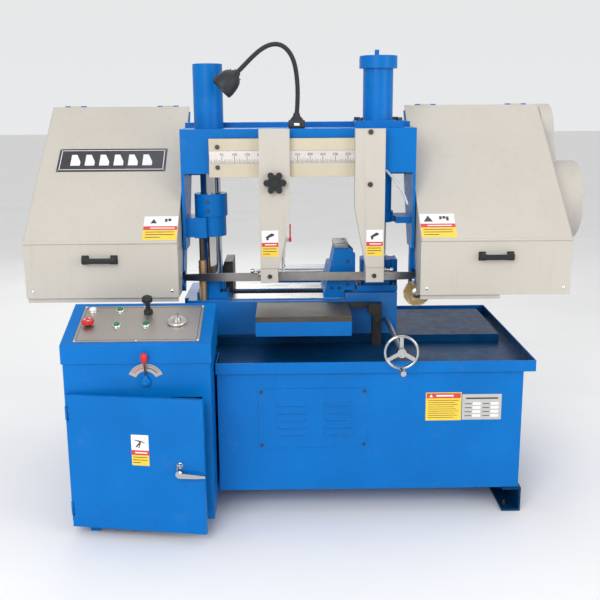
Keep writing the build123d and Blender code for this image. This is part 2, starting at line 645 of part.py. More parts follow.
def make_coolant_valve():
    """Valve body on the arm's edge, with inlet stub and nozzle to the band."""
    bracket = box(-76, -50, ARM_Y[1], 381.5, 985, 1040)
    body = box(VALVE_X - 12, VALVE_X + 12, 381.5, 405.5, 990, 1030)
    body += rod_z(VALVE_X, 393.5, 1030, 1092, 8)
    body += rod_z(VALVE_X, 393.5, 940, 990, 9)
    body += rod_z(VALVE_X, 393.5, 876, 940, 6)
    body += rod_x(393.5, 1010, VALVE_X + 12, VALVE_X + 22, 9)
    body -= rod_x(393.5, 1010, VALVE_X, VALVE_X + 40, 4 + RUNNING_GAP)
    return [bracket + body]


def make_coolant_valve_lever():
    """Red quarter-turn lever on the valve spindle."""
    lever = rod_x(393.5, 1010, VALVE_X + 2, VALVE_X + 34, 4)
    lever += rod_x(393.5, 1010, VALVE_X + 24, VALVE_X + 34, 9)
    lever += box(VALVE_X + 26, VALVE_X + 32, 387.5, 399.5, 1010, 1074)
    return [lever]


def strip_section(x, twist_degrees):
    """Cross-section of the band at x, its width turned from vertical."""
    normal = Plane(origin=(x, BLADE_Y, BLADE_Z), x_dir=(0, 0, 1), z_dir=(1, 0, 0))
    return normal * Rot(0, 0, twist_degrees) * Rectangle(BLADE_WIDTH, BLADE_THICK)


def make_band_blade():
    """Endless band: two wraps, the return run, and the run twisted upright."""
    lower_out = WHEEL_R + BLADE_THICK
    solids = tilted(Pos(0, 2 * WHEEL_R + BLADE_THICK, 0) * Box(2 * WHEEL_X, BLADE_THICK, BLADE_WIDTH))
    for side in (-1, 1):
        centre = Pos(side * WHEEL_X, WHEEL_UP, 0)
        ring = Cylinder(lower_out, BLADE_WIDTH) - Cylinder(WHEEL_R, BLADE_WIDTH + 2)
        half = Pos(side * 300, 0, 0) * Box(600, 600, 100)
        solids += tilted(centre * (ring & half))
        x0, x1 = sorted((side * TWIST_END, side * WHEEL_X))
        solids += tilted(Pos((x0 + x1) / 2, 0, 0) * Box(x1 - x0, BLADE_THICK, BLADE_WIDTH))
    flat = 90.0 - WHEEL_TILT
    steps = 6
    for start, end in ((TWIST_START_LEFT, -TWIST_END), (TWIST_START_RIGHT, TWIST_END)):
        sections = []
        for step in range(steps + 1):
            part = step / steps
            sections.append(strip_section(start + (end - start) * part, (90.0 - flat) * part))
        solids += loft(sections)
    middle = (TWIST_START_LEFT + TWIST_START_RIGHT) / 2
    length = TWIST_START_RIGHT - TWIST_START_LEFT
    solids += Pos(middle, BLADE_Y, BLADE_Z) * Box(length, BLADE_THICK, BLADE_WIDTH)
    return [solids]


def wheel_box(left, right, inner_at_left):
    """Open tray behind a wheel guard: sloping back plate and a rim around it."""
    def outline(out_front, out_back, up_low):
        front_low = tilt_yz(up_low, out_front)
        back_low = tilt_yz(up_low, out_back)
        return [front_low, back_low, slope_hit(out_back), slope_hit(out_front)]

    tray = prism_x(outline(28, -63, -40), left, right)
    deep = [tilt_yz(-34, -55), tilt_yz(950, -55), tilt_yz(950, 200), tilt_yz(-34, 200)]
    tray -= prism_x(deep, left + 6, right - 6)
    wall = left if inner_at_left else right - 6
    for up in (0, 2 * WHEEL_R):
        y, z = tilt_yz(up, 0)
        tray -= box(wall - 1, wall + 7, y - 32, y + 32, z - 28, z + 28)
    return tray


def slope_hit(out):
    """Where a line parallel to the wheel plane meets the inside of the guard slope."""
    slope = (GUARD_TOP_Z - RIDGE_Z) / (GUARD_TOP_Y - GUARD_FRONT)
    y0, z0 = tilt_yz(0, out)
    gap = 8.0
    up = (RIDGE_Z - gap + slope * (y0 - GUARD_FRONT) - z0) / (SIN_T - slope * COS_T)
    return tilt_yz(up, out)


HINGE_SPANS = ((0.12, 0.2), (0.8, 0.88))


def hinge_spans(left, right):
    """Cover knuckle spans along the hinge, as (start, end) in x."""
    width = right - left
    return [(left + a * width, left + b * width) for a, b in HINGE_SPANS]


RIM_OPENING = (95.0, 27.0)


def make_wheel_boxes():
    """Both wheel boxes, with the guard hinge pins in their fixed knuckles."""
    left = wheel_box(-1068.0, LEFT_PLATE_X, False)
    slot = Pos(-WHEEL_X + 20, WHEEL_UP, -60) * Box(2 * DRIVE_SHAFT_R + 46, 2 * DRIVE_SHAFT_R + 4, 40)
    left -= tilted(slot)
    # opening in the inner wall that the idler rim enters when the band is slackened
    rim_low, rim_high = WHEEL_UP - RIM_OPENING[0], WHEEL_UP + RIM_OPENING[0]
    left -= tilted(box(LEFT_PLATE_X - 7, LEFT_PLATE_X + 1, rim_low, rim_high, -RIM_OPENING[1], RIM_OPENING[1]))
    right = wheel_box(RIGHT_PLATE_X, 1068.0, True)
    right -= tilted(Pos(WHEEL_X, WHEEL_UP, -60) * Cylinder(DRIVE_SHAFT_R + 6, 40))
    right -= box(RIGHT_PLATE_X - 1, BRUSH_X + BRUSH_R + 12, 380, 468, 700, 880)
    boxes = []
    for tray, (x0, x1) in ((left, LEFT_GUARD), (right, RIGHT_GUARD)):
        for a, b in hinge_spans(x0, x1):
            for k0, k1 in ((a - 22, a - 1), (b + 1, b + 22)):
                tray += rod_x(HINGE_Y, HINGE_Z, k0, k1, 10)
                tray += box(k0, k1, HINGE_Y - 14, HINGE_Y, HINGE_Z - 27, HINGE_Z)
                tray += box(k0, k1, HINGE_Y - 40, HINGE_Y - 14, HINGE_Z - 27, HINGE_Z - 20)
            tray += rod_x(HINGE_Y, HINGE_Z, a - 20, b + 20, HINGE_PIN_R)
        boxes.append(tray)
    return boxes + make_tension_rails()


def make_worm_gearbox():
    """Worm gearbox behind the right wheel box: ribbed case and seal covers."""
    case = tilted(box(WHEEL_X - 105, WHEEL_X + 125, WHEEL_R - 105, WHEEL_R + 225, -235, -63))
    case = fillet(case.edges().filter_by(Axis.X), 14)
    for index in range(5):
        x = WHEEL_X - 80 + index * 40
        rib = box(x, x + 6, WHEEL_R - 90, WHEEL_R + 210, -245, -230)
        case += tilted(rib)
    case += rod_x(WORM_Y, WORM_Z, WHEEL_X + 120, WHEEL_X + 140, 48)
    case += tilted(Pos(WHEEL_X, WHEEL_UP, -58) * Cylinder(DRIVE_SHAFT_R + 5.5, 12))
    case -= tilted(Pos(WHEEL_X, WHEEL_UP, -120) * Cylinder(DRIVE_SHAFT_R + RUNNING_GAP, 160))
    case -= rod_x(WORM_Y, WORM_Z, WHEEL_X - 40, WHEEL_X + 160, 14 + RUNNING_GAP)
    return [case]


def make_drive_motor():
    """Finned three-phase motor with a fan cowl, feet and terminal box."""
    y, z = MOTOR_Y, MOTOR_Z
    motor = rod_x(y, z, 720, 1010, 88)
    for index in range(16):
        angle = 360 / 16 * index
        fin = Pos(865, y, z) * Rot(angle, 0, 0) * Pos(0, 0, 91) * Box(250, 4, 14)
        motor += fin
    motor += rod_x(y, z, 690, 728, 98)
    motor += rod_x(y, z, 1000, 1030, 97)
    up = (y - BLADE_Y) * COS_T + (z - BLADE_Z) * SIN_T
    out = -(y - BLADE_Y) * SIN_T + (z - BLADE_Z) * COS_T
    for x in (760, 920):
        motor += tilted(box(x, x + 44, up - 78, up + 40, out + 55, -63))
    motor += box(820, 900, y + 60, y + 118, z - 40, z + 40)
    motor -= rod_x(y, z, 980, 1040, 12 + RUNNING_GAP)
    return [motor]


def pulley(y, z, radius, bore, shaft_from):
    """Two-groove V pulley keyed on its shaft."""
    wheel = rod_x(y, z, PULLEY_LEFT, PULLEY_RIGHT, radius)
    for groove in (PULLEY_LEFT + 3, PULLEY_LEFT + 14):
        outer, inner = radius + 1, radius - 9
        profile = [(groove, outer), (groove + 9, outer), (groove + 7, inner), (groove + 2, inner)]
        outline = Polyline(*[(x, y, z + r) for x, r in profile], close=True)
        wheel -= revolve(make_face(outline), Axis((0, y, z), (1, 0, 0)))
    shaft = rod_x(y, z, shaft_from, PULLEY_RIGHT + 4, bore)
    return wheel + shaft


MOTOR_PULLEY_R, WORM_PULLEY_R = 52.0, 104.0


def make_motor_pulley():
    return [pulley(MOTOR_Y, MOTOR_Z, MOTOR_PULLEY_R, 12, 986)]


def make_gearbox_pulley():
    return [pulley(WORM_Y, WORM_Z, WORM_PULLEY_R, 14, WHEEL_X - 30)]


def belt_loop(r_motor, r_worm, x0, x1):
    """Solid of the open-belt outline around both pulley circles."""
    dy, dz = MOTOR_Y - WORM_Y, MOTOR_Z - WORM_Z
    distance = math.hypot(dy, dz)
    lean = math.acos((r_worm - r_motor) / distance)
    heading = math.atan2(dz, dy)
    corners = []
    for sign in (1, -1):
        angle = heading + sign * lean
        unit = (math.cos(angle), math.sin(angle))
        worm = (WORM_Y + r_worm * unit[0], WORM_Z + r_worm * unit[1])
        motor = (MOTOR_Y + r_motor * unit[0], MOTOR_Z + r_motor * unit[1])
        corners += [worm, motor] if sign == 1 else [motor, worm]
    body = prism_x(corners, x0, x1)
    body += rod_x(WORM_Y, WORM_Z, x0, x1, r_worm)
    body += rod_x(MOTOR_Y, MOTOR_Z, x0, x1, r_motor)
    return body


def make_v_belt():
    """Two V-belts running in the pulley grooves."""
    belts = []
    for groove in (PULLEY_LEFT + 3, PULLEY_LEFT + 14):
        outer = belt_loop(MOTOR_PULLEY_R + 0.5, WORM_PULLEY_R + 0.5, groove + 2.4, groove + 6.6)
        inner = belt_loop(MOTOR_PULLEY_R - 7, WORM_PULLEY_R - 7, groove, groove + 9)
        belts.append(outer - inner)
    return belts


BELT_GUARD_X = 1079.0
WORM_DRUM_R, MOTOR_DRUM_R = 171.0, 128.0
WORM_DRUM_END, MOTOR_DRUM_END = 1218.0, 1132.0


def make_belt_guard():
    """Two sheet drums joined by a web, closed on the outside."""
    def drums(inset, x0):
        shape = rod_x(WORM_Y, WORM_Z, x0, WORM_DRUM_END - inset, WORM_DRUM_R - inset)
        shape += rod_x(MOTOR_Y, MOTOR_Z, x0, MOTOR_DRUM_END - inset, MOTOR_DRUM_R - inset)
        shape += belt_loop(100 - inset, 120 - inset, x0, MOTOR_DRUM_END - inset)
        return shape

    cover = drums(0, BELT_GUARD_X) - drums(3, BELT_GUARD_X + 3)
    cover -= rod_x(WORM_Y, WORM_Z, BELT_GUARD_X - 1, BELT_GUARD_X + 4, 18)
    cover -= rod_x(MOTOR_Y, MOTOR_Z, BELT_GUARD_X - 1, BELT_GUARD_X + 4, 16)
    bracket = rod_x(WORM_Y, WORM_Z, WHEEL_X + 140, BELT_GUARD_X, 44) - rod_x(WORM_Y, WORM_Z, 800, 1100, 38)
    bracket += rod_x(MOTOR_Y, MOTOR_Z, 1030, BELT_GUARD_X, 44) - rod_x(MOTOR_Y, MOTOR_Z, 1000, 1100, 38)
    return [cover + bracket]


def spoked_wheel(bore):
    """Cast band wheel: rim with a small back flange, web with holes, hub."""
    rim_r = WHEEL_R - 0.3
    wheel = Cylinder(rim_r, 36) - Cylinder(rim_r - 18, 40)
    wheel += Pos(0, 0, 20) * (Cylinder(rim_r + 4, 4) - Cylinder(rim_r - 18, 10))
    wheel += Cylinder(rim_r - 10, 12)
    wheel += Cylinder(56, 60)
    for index in range(6):
        angle = math.radians(60 * index)
        wheel -= Pos(145 * math.cos(angle), 145 * math.sin(angle), 0) * Cylinder(42, 30)
    wheel -= Cylinder(bore, 80)
    return wheel


def make_drive_wheel():
    """Drive wheel keyed to the gearbox output shaft, with its end washer."""
    hub = Pos(WHEEL_X, WHEEL_UP, 0)
    wheel = tilted(hub * spoked_wheel(DRIVE_SHAFT_R))
    shaft = tilted(Pos(WHEEL_X, WHEEL_UP, -80) * Cylinder(DRIVE_SHAFT_R, 220))
    washer = tilted(Pos(WHEEL_X, WHEEL_UP, 33) * Cylinder(44, 6))
    return [wheel, shaft, washer]


def make_idler_wheel():
    """Idler wheel with two sealed bearings in its hub."""
    hub = Pos(-WHEEL_X, WHEEL_UP, 0)
    wheel = tilted(hub * spoked_wheel(42))
    bearings = []
    for z in (-18, 18):
        ring = Pos(0, 0, z) * (Cylinder(42, 18) - Cylinder(25 + RUNNING_GAP, 20))
        bearings.append(tilted(hub * ring))
    return [wheel] + bearings


def make_tension_slide():
    """Idler axle on its slide block behind the left wheel box."""
    at = Pos(-WHEEL_X, WHEEL_UP, 0)
    block = at * box(-70, 70, -60, 60, -104, -64)
    axle = at * Pos(0, 0, -34) * Cylinder(25, 140)
    axle += at * Pos(0, 0, -50) * Cylinder(30, 30)
    nut = at * Pos(0, 0, 37) * Cylinder(36, 8) - at * Pos(0, 0, 37) * Cylinder(25, 20)
    block -= at * Pos(-58, 0, -84) * Rot(0, 90, 0) * Cylinder(9 + RUNNING_GAP, 62)
    return [tilted(block + axle), tilted(nut)]


def make_tension_screw():
    """Tension screw with a hexagon end, running into the slide block."""
    at = Pos(-WHEEL_X, WHEEL_UP, -84) * Rot(0, -90, 0)
    screw = at * Pos(0, 0, 199) * Cylinder(9, 340)
    screw += at * Pos(0, 0, 300) * Cylinder(16, 8)
    screw += at * Pos(0, 0, 362) * extrude(RegularPolygon(15, 6), 12, both=True)
    return [tilted(screw)]


def make_tension_rails():
    """Guide rails of the slide and the thrust block of the tension screw."""
    at = Pos(-WHEEL_X, WHEEL_UP, 0)
    rails = []
    for side in (-1, 1):
        low, high = sorted((side * 60.6, side * 78))
        rails.append(tilted(at * box(-110, 110, low, high, -106, -63)))
    thrust = at * box(-322, -306, -30, 30, -104, -63)
    thrust -= at * Pos(-314, 0, -84) * Rot(0, 90, 0) * Cylinder(9 + RUNNING_GAP, 40)
    rails.append(tilted(thrust))
    return rails


def make_wire_brush():
    """Wire wheel that cleans the band, on its short shaft."""
    wires = rod_y(BRUSH_X, BRUSH_Z, 402, 422, BRUSH_R) - rod_y(BRUSH_X, BRUSH_Z, 400, 424, 24)
    hub = rod_y(BRUSH_X, BRUSH_Z, 400, 424, 24) - rod_y(BRUSH_X, BRUSH_Z, 398, 426, 6)
    shaft = rod_y(BRUSH_X, BRUSH_Z, 392, 486, 6)
    return [wires, hub, shaft]


# ---- wheel guards ----
def guard_cover(x0, x1, lip):
    """Sheet cover: front face, long slope and two cheeks, hinged at the top."""
    rear_low = tilt_yz(-72, 31)
    rear_high = slope_hit(31)
    slope = (GUARD_TOP_Z - RIDGE_Z) / (GUARD_TOP_Y - GUARD_FRONT)
    drop = SKIN * math.sqrt(1 + slope * slope)
    side = [(GUARD_FRONT, GUARD_BOTTOM), (GUARD_FRONT, RIDGE_Z)]
    side += [(rear_high[0], guard_slope_z(rear_high[0])), rear_high, rear_low]
    skin = [
        (GUARD_FRONT, GUARD_BOTTOM),
        (GUARD_FRONT, RIDGE_Z),
        (GUARD_TOP_Y, GUARD_TOP_Z),
        (GUARD_TOP_Y, GUARD_TOP_Z - drop),
        (GUARD_FRONT + SKIN, RIDGE_Z - drop),
        (GUARD_FRONT + SKIN, GUARD_BOTTOM),
    ]
    cover = prism_x(skin, x0, x1)
    for wall in (x0, x1 - SKIN):
        cover += prism_x(side, wall, wall + SKIN)
    cover += box(x0 + SKIN, x1 - SKIN, GUARD_FRONT, GUARD_FRONT + 14, GUARD_BOTTOM, GUARD_BOTTOM + SKIN)
    # small drip edge over the front face
    cover += box(x0, x1, GUARD_FRONT - 5, GUARD_FRONT + 1, RIDGE_Z - 10, RIDGE_Z - 7)
    lip_left, lip_right, lip_bottom = lip
    cover += box(lip_left, lip_right, GUARD_FRONT + 12, GUARD_FRONT + 14.5, lip_bottom, GUARD_BOTTOM + SKIN)
    for a, b in hinge_spans(x0, x1):
        knuckle = rod_x(HINGE_Y, HINGE_Z, a, b, 10)
        knuckle += box(a, b, GUARD_TOP_Y - 10, HINGE_Y, HINGE_Z - 6, HINGE_Z - 2)
        cover += knuckle - rod_x(HINGE_Y, HINGE_Z, a - 1, b + 1, HINGE_PIN_R + RUNNING_GAP)
    return cover


def make_left_guard_cover():
    return [guard_cover(*LEFT_GUARD, (LEFT_GUARD[0] + 3, LEFT_GUARD[1] - 3, 786))]


def make_right_guard_cover():
    return [guard_cover(*RIGHT_GUARD, (RIGHT_GUARD[0] + 3, 800, 786))]


# ---- work lamp ----
LAMP_X, LAMP_Y = -3.0, 440.0
NECK_R = 9.5
NECK_POINTS = [
    (-3, 440, 1500),
    (4, 438, 1580),
    (0, 435, 1660),
    (-14, 431, 1728),
    (-52, 425, 1776),
    (-104, 418, 1780),
    (-160, 411, 1746),
    (-205, 404, 1698),
    (-232, 400, 1672),
]
LAMP_HEAD_LENGTH = 95.0


def make_lamp_gooseneck():
    """Magnetic foot and the flexible neck, as straight runs with round bends."""
    foot = box(LAMP_X - 33, LAMP_X + 33, LAMP_Y - 28, LAMP_Y + 28, BEAM_TOP, BEAM_TOP + 34)
    foot = fillet(foot.edges().filter_by(Axis.Z), 6)
    foot += rod_z(LAMP_X, LAMP_Y, BEAM_TOP + 33, BEAM_TOP + 50, 18)
    radii = []
    for a, b, c in zip(NECK_POINTS, NECK_POINTS[1:], NECK_POINTS[2:]):
        first, second = Vector(b) - Vector(a), Vector(c) - Vector(b)
        turn = math.radians(first.get_angle(second))
        radii.append(0.45 * min(first.length, second.length) / math.tan(turn / 2))
    path = FilletPolyline(*NECK_POINTS, radius=radii)
    start = Plane(origin=path @ 0, z_dir=path % 0)
    neck = sweep(start * Circle(NECK_R), path=path)
    return [foot, neck]


def make_lamp_head():
    """Bell-shaped spot head with a shoulder, an open rim and a recessed lens."""
    start = Vector(NECK_POINTS[-1])
    axis = Plane(origin=start, z_dir=start - Vector(NECK_POINTS[-2]))
    length = LAMP_HEAD_LENGTH
    profile = [(14, 0), (18, 9), (34, 24), (43, 40), (48, 62), (49, length - 12), (47, length)]
    outline = Polyline(*[(r, 0, h) for r, h in [(0, 0)] + profile + [(0, length)]], close=True)
    head = revolve(make_face(outline), Axis.Z)
    head -= Pos(0, 0, length - 5) * Cylinder(43, 16)
    lens = Pos(0, 0, length - 10) * Cylinder(43, 6)
    return [axis.location * head, axis.location * lens]


# ---- operator console ----
LID_ANGLE = math.degrees(math.atan((LID_BACK_Z - LID_FRONT_Z) / (CAB_BACK - CAB_FRONT + 6)))


def on_panel(x, along, shape):
    """Put a shape on the sloping console top, at a distance from its front edge."""
    front = Pos(x, CAB_FRONT - 6, LID_FRONT_Z) * Rot(LID_ANGLE, 0, 0)
    return front * Pos(0, along, 0) * shape


PANEL_X = (-808.0, -360.0)
PANEL_ALONG = (20.0, 262.0)
PANEL_THICK = 3.0
ESTOP_AT = (-773.0, 130.0)
PILOT_AT = (-773.0, 227.0)
BUTTONS_AT = {
    "green_button_top": (-671.0, 229.0),
    "green_button_left": (-668.0, 124.0),
    "green_button_right": (-564.0, 126.0),
}
SELECTOR_AT = (-565.0, 214.0)
DIAL_AT = (-451.0, 146.0)
PANEL_HOLE_R = 11.0
LEVER_X, LEVER_Z = -552.0, 588.0
DOOR_X0, DOOR_X1 = -838.0, -336.0
DOOR_Z0, DOOR_Z1 = 40.0, 548.0


def make_control_cabinet():
    """Sheet cabinet with a door opening, and the console lid over it."""
    body = box(CAB_LEFT, CAB_RIGHT, CAB_FRONT, CAB_BACK, CAB_BOTTOM, CAB_TOP)
    body -= box(CAB_LEFT + 3, CAB_RIGHT - 3, CAB_FRONT + 3, CAB_BACK - 3, CAB_BOTTOM + 3, CAB_TOP + 1)
    body -= box(DOOR_X0 + 22, DOOR_X1 - 18, CAB_FRONT - 1, CAB_FRONT + 5, DOOR_Z0 + 36, DOOR_Z1 - 20)
    body -= rod_y(LEVER_X, LEVER_Z, CAB_FRONT - 1, CAB_FRONT + 5, 9 + RUNNING_GAP)
    front = CAB_FRONT - 6
    profile = [(front, CAB_TOP), (CAB_BACK, CAB_TOP), (CAB_BACK, LID_BACK_Z), (front, LID_FRONT_Z)]
    cavity = [
        (front + 3, CAB_TOP - 1),
        (CAB_BACK - 3, CAB_TOP - 1),
        (CAB_BACK - 3, LID_BACK_Z - 5),
        (front + 3, LID_FRONT_Z - 3),
    ]
    lid = prism_x(profile, CAB_LEFT - 5, CAB_RIGHT + 5) - prism_x(cavity, CAB_LEFT - 2, CAB_RIGHT + 2)
    lid += box(CAB_LEFT - 5, CAB_RIGHT + 5, front, CAB_BACK, CAB_TOP, CAB_TOP + 3)
    lid -= on_panel((PANEL_X[0] + PANEL_X[1]) / 2, 0, box(-214, 214, 34, 250, -14, 4))
    for x in (CAB_LEFT + 60, CAB_RIGHT - 90):
        for y in (CAB_FRONT + 20, CAB_BACK - 60):
            body += box(x, x + 36, y, y + 36, 0, CAB_BOTTOM)
    for z in (DOOR_Z0 + 70, DOOR_Z1 - 70):
        body += box(DOOR_X0 - 8, DOOR_X0 + 6, CAB_FRONT - 3, CAB_FRONT, z - 14, z + 14)
        body += rod_z(DOOR_HINGE_X, DOOR_HINGE_Y, z - 26, z + 26, 3)
        body += rod_z(DOOR_HINGE_X, DOOR_HINGE_Y, z - 26, z - 1, 6)
        body += box(DOOR_HINGE_X - 2, DOOR_HINGE_X + 6, DOOR_HINGE_Y, CAB_FRONT - 2, z - 26, z - 1)
    return [body, lid]


DOOR_HINGE_X, DOOR_HINGE_Y = DOOR_X0 - 1.0, CAB_FRONT - 12.0


def make_control_panel():
    """Pale panel plate with holes for the controls, and the pilot lamp."""
    middle = (PANEL_X[0] + PANEL_X[1]) / 2
    half = (PANEL_X[1] - PANEL_X[0]) / 2
    plate = on_panel(middle, 0, box(-half, half, PANEL_ALONG[0], PANEL_ALONG[1], 0, PANEL_THICK))
    for x, along in [ESTOP_AT, SELECTOR_AT, DIAL_AT] + list(BUTTONS_AT.values()):
        plate -= on_panel(x, along, Cylinder(PANEL_HOLE_R, 20))
    for x, along in list(BUTTONS_AT.values()):
        ring = Pos(0, 0, PANEL_THICK + 2.5) * (Cylinder(15, 5) - Cylinder(PANEL_HOLE_R, 10))
        plate += on_panel(x, along, ring)
    lamp = on_panel(*PILOT_AT, Pos(0, 0, PANEL_THICK + 4) * Cylinder(16, 8))
    lens = on_panel(*PILOT_AT, Pos(0, 0, PANEL_THICK + 8) * Sphere(12.5, arc_size1=0))
    return [plate, lamp, lens]


def make_estop_button():
    """Mushroom head on its stem."""
    stem = Pos(0, 0, -2) * Cylinder(PANEL_HOLE_R - 0.5, 34)
    head = Pos(0, 0, 20) * Cylinder(20, 12)
    head = fillet(head.edges().group_by(Axis.Z)[-1], 5)
    return [on_panel(*ESTOP_AT, stem + head)]


def push_button(at):
    cap = Cylinder(PANEL_HOLE_R - 0.5, 26)
    return [on_panel(*at, chamfer(cap.edges().group_by(Axis.Z)[-1], 1.5))]


def make_selector_knob():
    """Tall black knob on a spindle."""
    knob = Pos(0, 0, PANEL_THICK + 7) * Cylinder(17, 12) + Pos(0, 0, PANEL_THICK + 32) * Cylinder(10, 38)
    knob += Pos(0, 0, PANEL_THICK + 56) * Cylinder(17, 22)
    knob += Pos(0, 0, -4) * Cylinder(PANEL_HOLE_R - 0.5, 20)
    return [on_panel(*SELECTOR_AT, knob)]


def make_speed_dial():
    """Turned dial with a knurled skirt and a raised pointer bar."""
    dial = Pos(0, 0, PANEL_THICK + 6) * Cylinder(35, 10)
    dial += Pos(0, 0, PANEL_THICK + 18) * Cylinder(15, 16)
    dial += Pos(0, 0, PANEL_THICK + 26) * Box(6, 40, 8)
    dial += Pos(0, 0, -4) * Cylinder(PANEL_HOLE_R - 0.5, 22)
    return [on_panel(*DIAL_AT, dial)]


def make_feed_lever():
    """Hub, rod and long oval knob of the hydraulic feed lever."""
    face = CAB_FRONT
    lever = rod_y(LEVER_X, LEVER_Z, face - 36, face + 20, 9)
    lever += rod_y(LEVER_X, LEVER_Z, face - 36, face - 8, 24)
    lever += rod_z(LEVER_X, face - 27, LEVER_Z, LEVER_Z + 80, 5)
    profile = [(0, 0), (9, 0), (14, 12), (16, 26), (13, 38), (6, 44), (0, 44)]
    knob = revolve(make_face(Polyline(*[(r, 0, h) for r, h in profile], close=True)), Axis.Z)
    lever += Pos(LEVER_X, face - 27, LEVER_Z + 74) * knob
    return [lever]


def make_lever_plate():
    """Arc-shaped scale plate behind the lever."""
    outer = rod_y(LEVER_X, LEVER_Z, CAB_FRONT - 2, CAB_FRONT, 66)
    plate = outer - rod_y(LEVER_X, LEVER_Z, CAB_FRONT - 3, CAB_FRONT + 1, 38)
    wedge = [(LEVER_X, LEVER_Z), (LEVER_X - 90, LEVER_Z + 40), (LEVER_X - 90, 720), (LEVER_X + 90, 720)]
    wedge.append((LEVER_X + 90, LEVER_Z + 40))
    return [plate & prism_y(wedge, CAB_FRONT - 4, CAB_FRONT + 2)]


def door_swing(shape):
    """Turn a shape of the closed door to the ajar rest pose."""
    hinge = Pos(DOOR_HINGE_X, DOOR_HINGE_Y, 0)
    return hinge * Rot(0, 0, -DOOR_OPEN_AT_REST) * hinge.inverse() * shape


DOOR_LOCK_X, DOOR_LOCK_Z = -425.0, 272.0


def make_cabinet_door():
    """Pan door with folded edges and hinge knuckles."""
    y0, y1 = CAB_FRONT - 21, CAB_FRONT - 1.5
    door = box(DOOR_X0, DOOR_X1, y0, y1, DOOR_Z0, DOOR_Z1)
    door -= box(DOOR_X0 + 2, DOOR_X1 - 2, y0 + 2, y1 + 1, DOOR_Z0 + 2, DOOR_Z1 - 2)
    for z in (DOOR_Z0 + 70, DOOR_Z1 - 70):
        door -= box(DOOR_X0 - 1, DOOR_X0 + 9, y0 - 1, y1 + 1, z - 28, z + 28)
        knuckle = rod_z(DOOR_HINGE_X, DOOR_HINGE_Y, z + 1, z + 24, 6)
        knuckle += box(DOOR_HINGE_X, DOOR_X0 + 12, DOOR_HINGE_Y - 2, DOOR_HINGE_Y + 1, z + 1, z + 24)
        knuckle += box(DOOR_X0 + 9, DOOR_X0 + 12, y0, DOOR_HINGE_Y + 1, z + 1, z + 24)
        door += knuckle - rod_z(DOOR_HINGE_X, DOOR_HINGE_Y, z - 1, z + 30, 3 + RUNNING_GAP)
    door -= rod_y(DOOR_LOCK_X, DOOR_LOCK_Z, y0 - 1, y0 + 3, 8 + RUNNING_GAP)
    return [door_swing(door)]


def make_door_handle():
    """Chromed swing handle on its spindle, with the latch bar behind the frame edge."""
    x, y0, z = DOOR_LOCK_X, CAB_FRONT - 21, DOOR_LOCK_Z
    handle = rod_y(x, z, y0 - 14, CAB_FRONT + 7, 8)
    handle += rod_y(x, z, y0 - 14, y0 - 1, 14)
    bar = [(x, z - 10), (x + 60, z - 8), (x + 97, z - 4), (x + 97, z + 3), (x + 60, z + 6), (x, z + 10)]
    handle += prism_y(bar, y0 - 24, y0 - 13)
    handle += box(x - 6, x + 6, CAB_FRONT + 4, CAB_FRONT + 7, z, z + 78)
    return [door_swing(handle)]


def build_nodes():
    """Every node of the machine, as lists of solids in machine coordinates."""
    nodes = {
        "channel_feet": make_channel_feet(),
        "base_cabinet": make_base_cabinet(),
        "vent_panel": make_vent_panel(),
        "base_fasteners": make_base_fasteners(),
        "chip_tray": make_chip_tray(),
        "bed_casting": make_bed_casting(),
        "fixed_jaw": make_fixed_jaw(),
        "outfeed_table": make_outfeed_table(),
        "outfeed_table_top": make_outfeed_table_top(),
        "infeed_frame": make_infeed_frame(),
        "infeed_roller": make_infeed_roller(),
        "columns": make_columns(),
        "column_bases": make_column_bases(),
        "lift_cylinder_barrel": make_lift_cylinder_barrel(),
        "hydraulic_unit": make_hydraulic_unit(),
        "moving_jaw": make_moving_jaw(),
        "handwheel_shaft": make_handwheel_shaft(),
        "vise_screw": make_vise_screw(),
        "handwheel": make_handwheel(),
        "head_frame": make_head_frame(),
        "left_column_sleeve": make_left_column_sleeve(),
        "right_lift_cylinder": make_right_lift_cylinder(),
        "column_collars": make_column_collars(),
        "head_bolts": make_head_bolts(),
        "lift_cylinder_rod": make_lift_cylinder_rod(),
        "guide_rail": make_guide_rail(),
        "ruler_scale": make_ruler_scale(),
        "right_guide_arm": make_right_guide_arm(),
        "left_guide_arm": make_left_guide_arm(),
        "star_knob": make_star_knob(),
        "coolant_valve": make_coolant_valve(),
        "coolant_valve_lever": make_coolant_valve_lever(),
        "band_blade": make_band_blade(),
        "wheel_boxes": make_wheel_boxes(),
        "worm_gearbox": make_worm_gearbox(),
        "drive_motor": make_drive_motor(),
        "motor_pulley": make_motor_pulley(),
        "gearbox_pulley": make_gearbox_pulley(),
        "v_belts": make_v_belt(),
        "belt_guard": make_belt_guard(),
        "drive_wheel": make_drive_wheel(),
        "idler_wheel": make_idler_wheel(),
        "tension_slide": make_tension_slide(),
        "tension_screw": make_tension_screw(),
        "wire_brush": make_wire_brush(),
        "left_guard_cover": make_left_guard_cover(),
        "right_guard_cover": make_right_guard_cover(),
        "lamp_gooseneck": make_lamp_gooseneck(),
        "lamp_head": make_lamp_head(),
        "control_cabinet": make_control_cabinet(),
        "control_panel": make_control_panel() + make_lever_plate(),
        "estop_button": make_estop_button(),
        "selector_knob": make_selector_knob(),
        "speed_dial": make_speed_dial(),
        "feed_lever": make_feed_lever(),
        "cabinet_door": make_cabinet_door(),
        "door_handle": make_door_handle(),
    }
    for name, at in BUTTONS_AT.items():
        nodes[name] = push_button(at)
    return nodes


def all_solids(shapes):
    """The separate solids of a list of shapes."""
    return [solid for shape in shapes for solid in shape.solids()]


def machine_offset(nodes):
    """Shift that puts the middle of the machine's footprint over the origin."""
    bounds = Compound(children=[s for shapes in nodes.values() for s in all_solids(shapes)]).bounding_box()
    return -(bounds.min.X + bounds.max.X) / 2, -(bounds.min.Y + bounds.max.Y) / 2, -bounds.min.Z


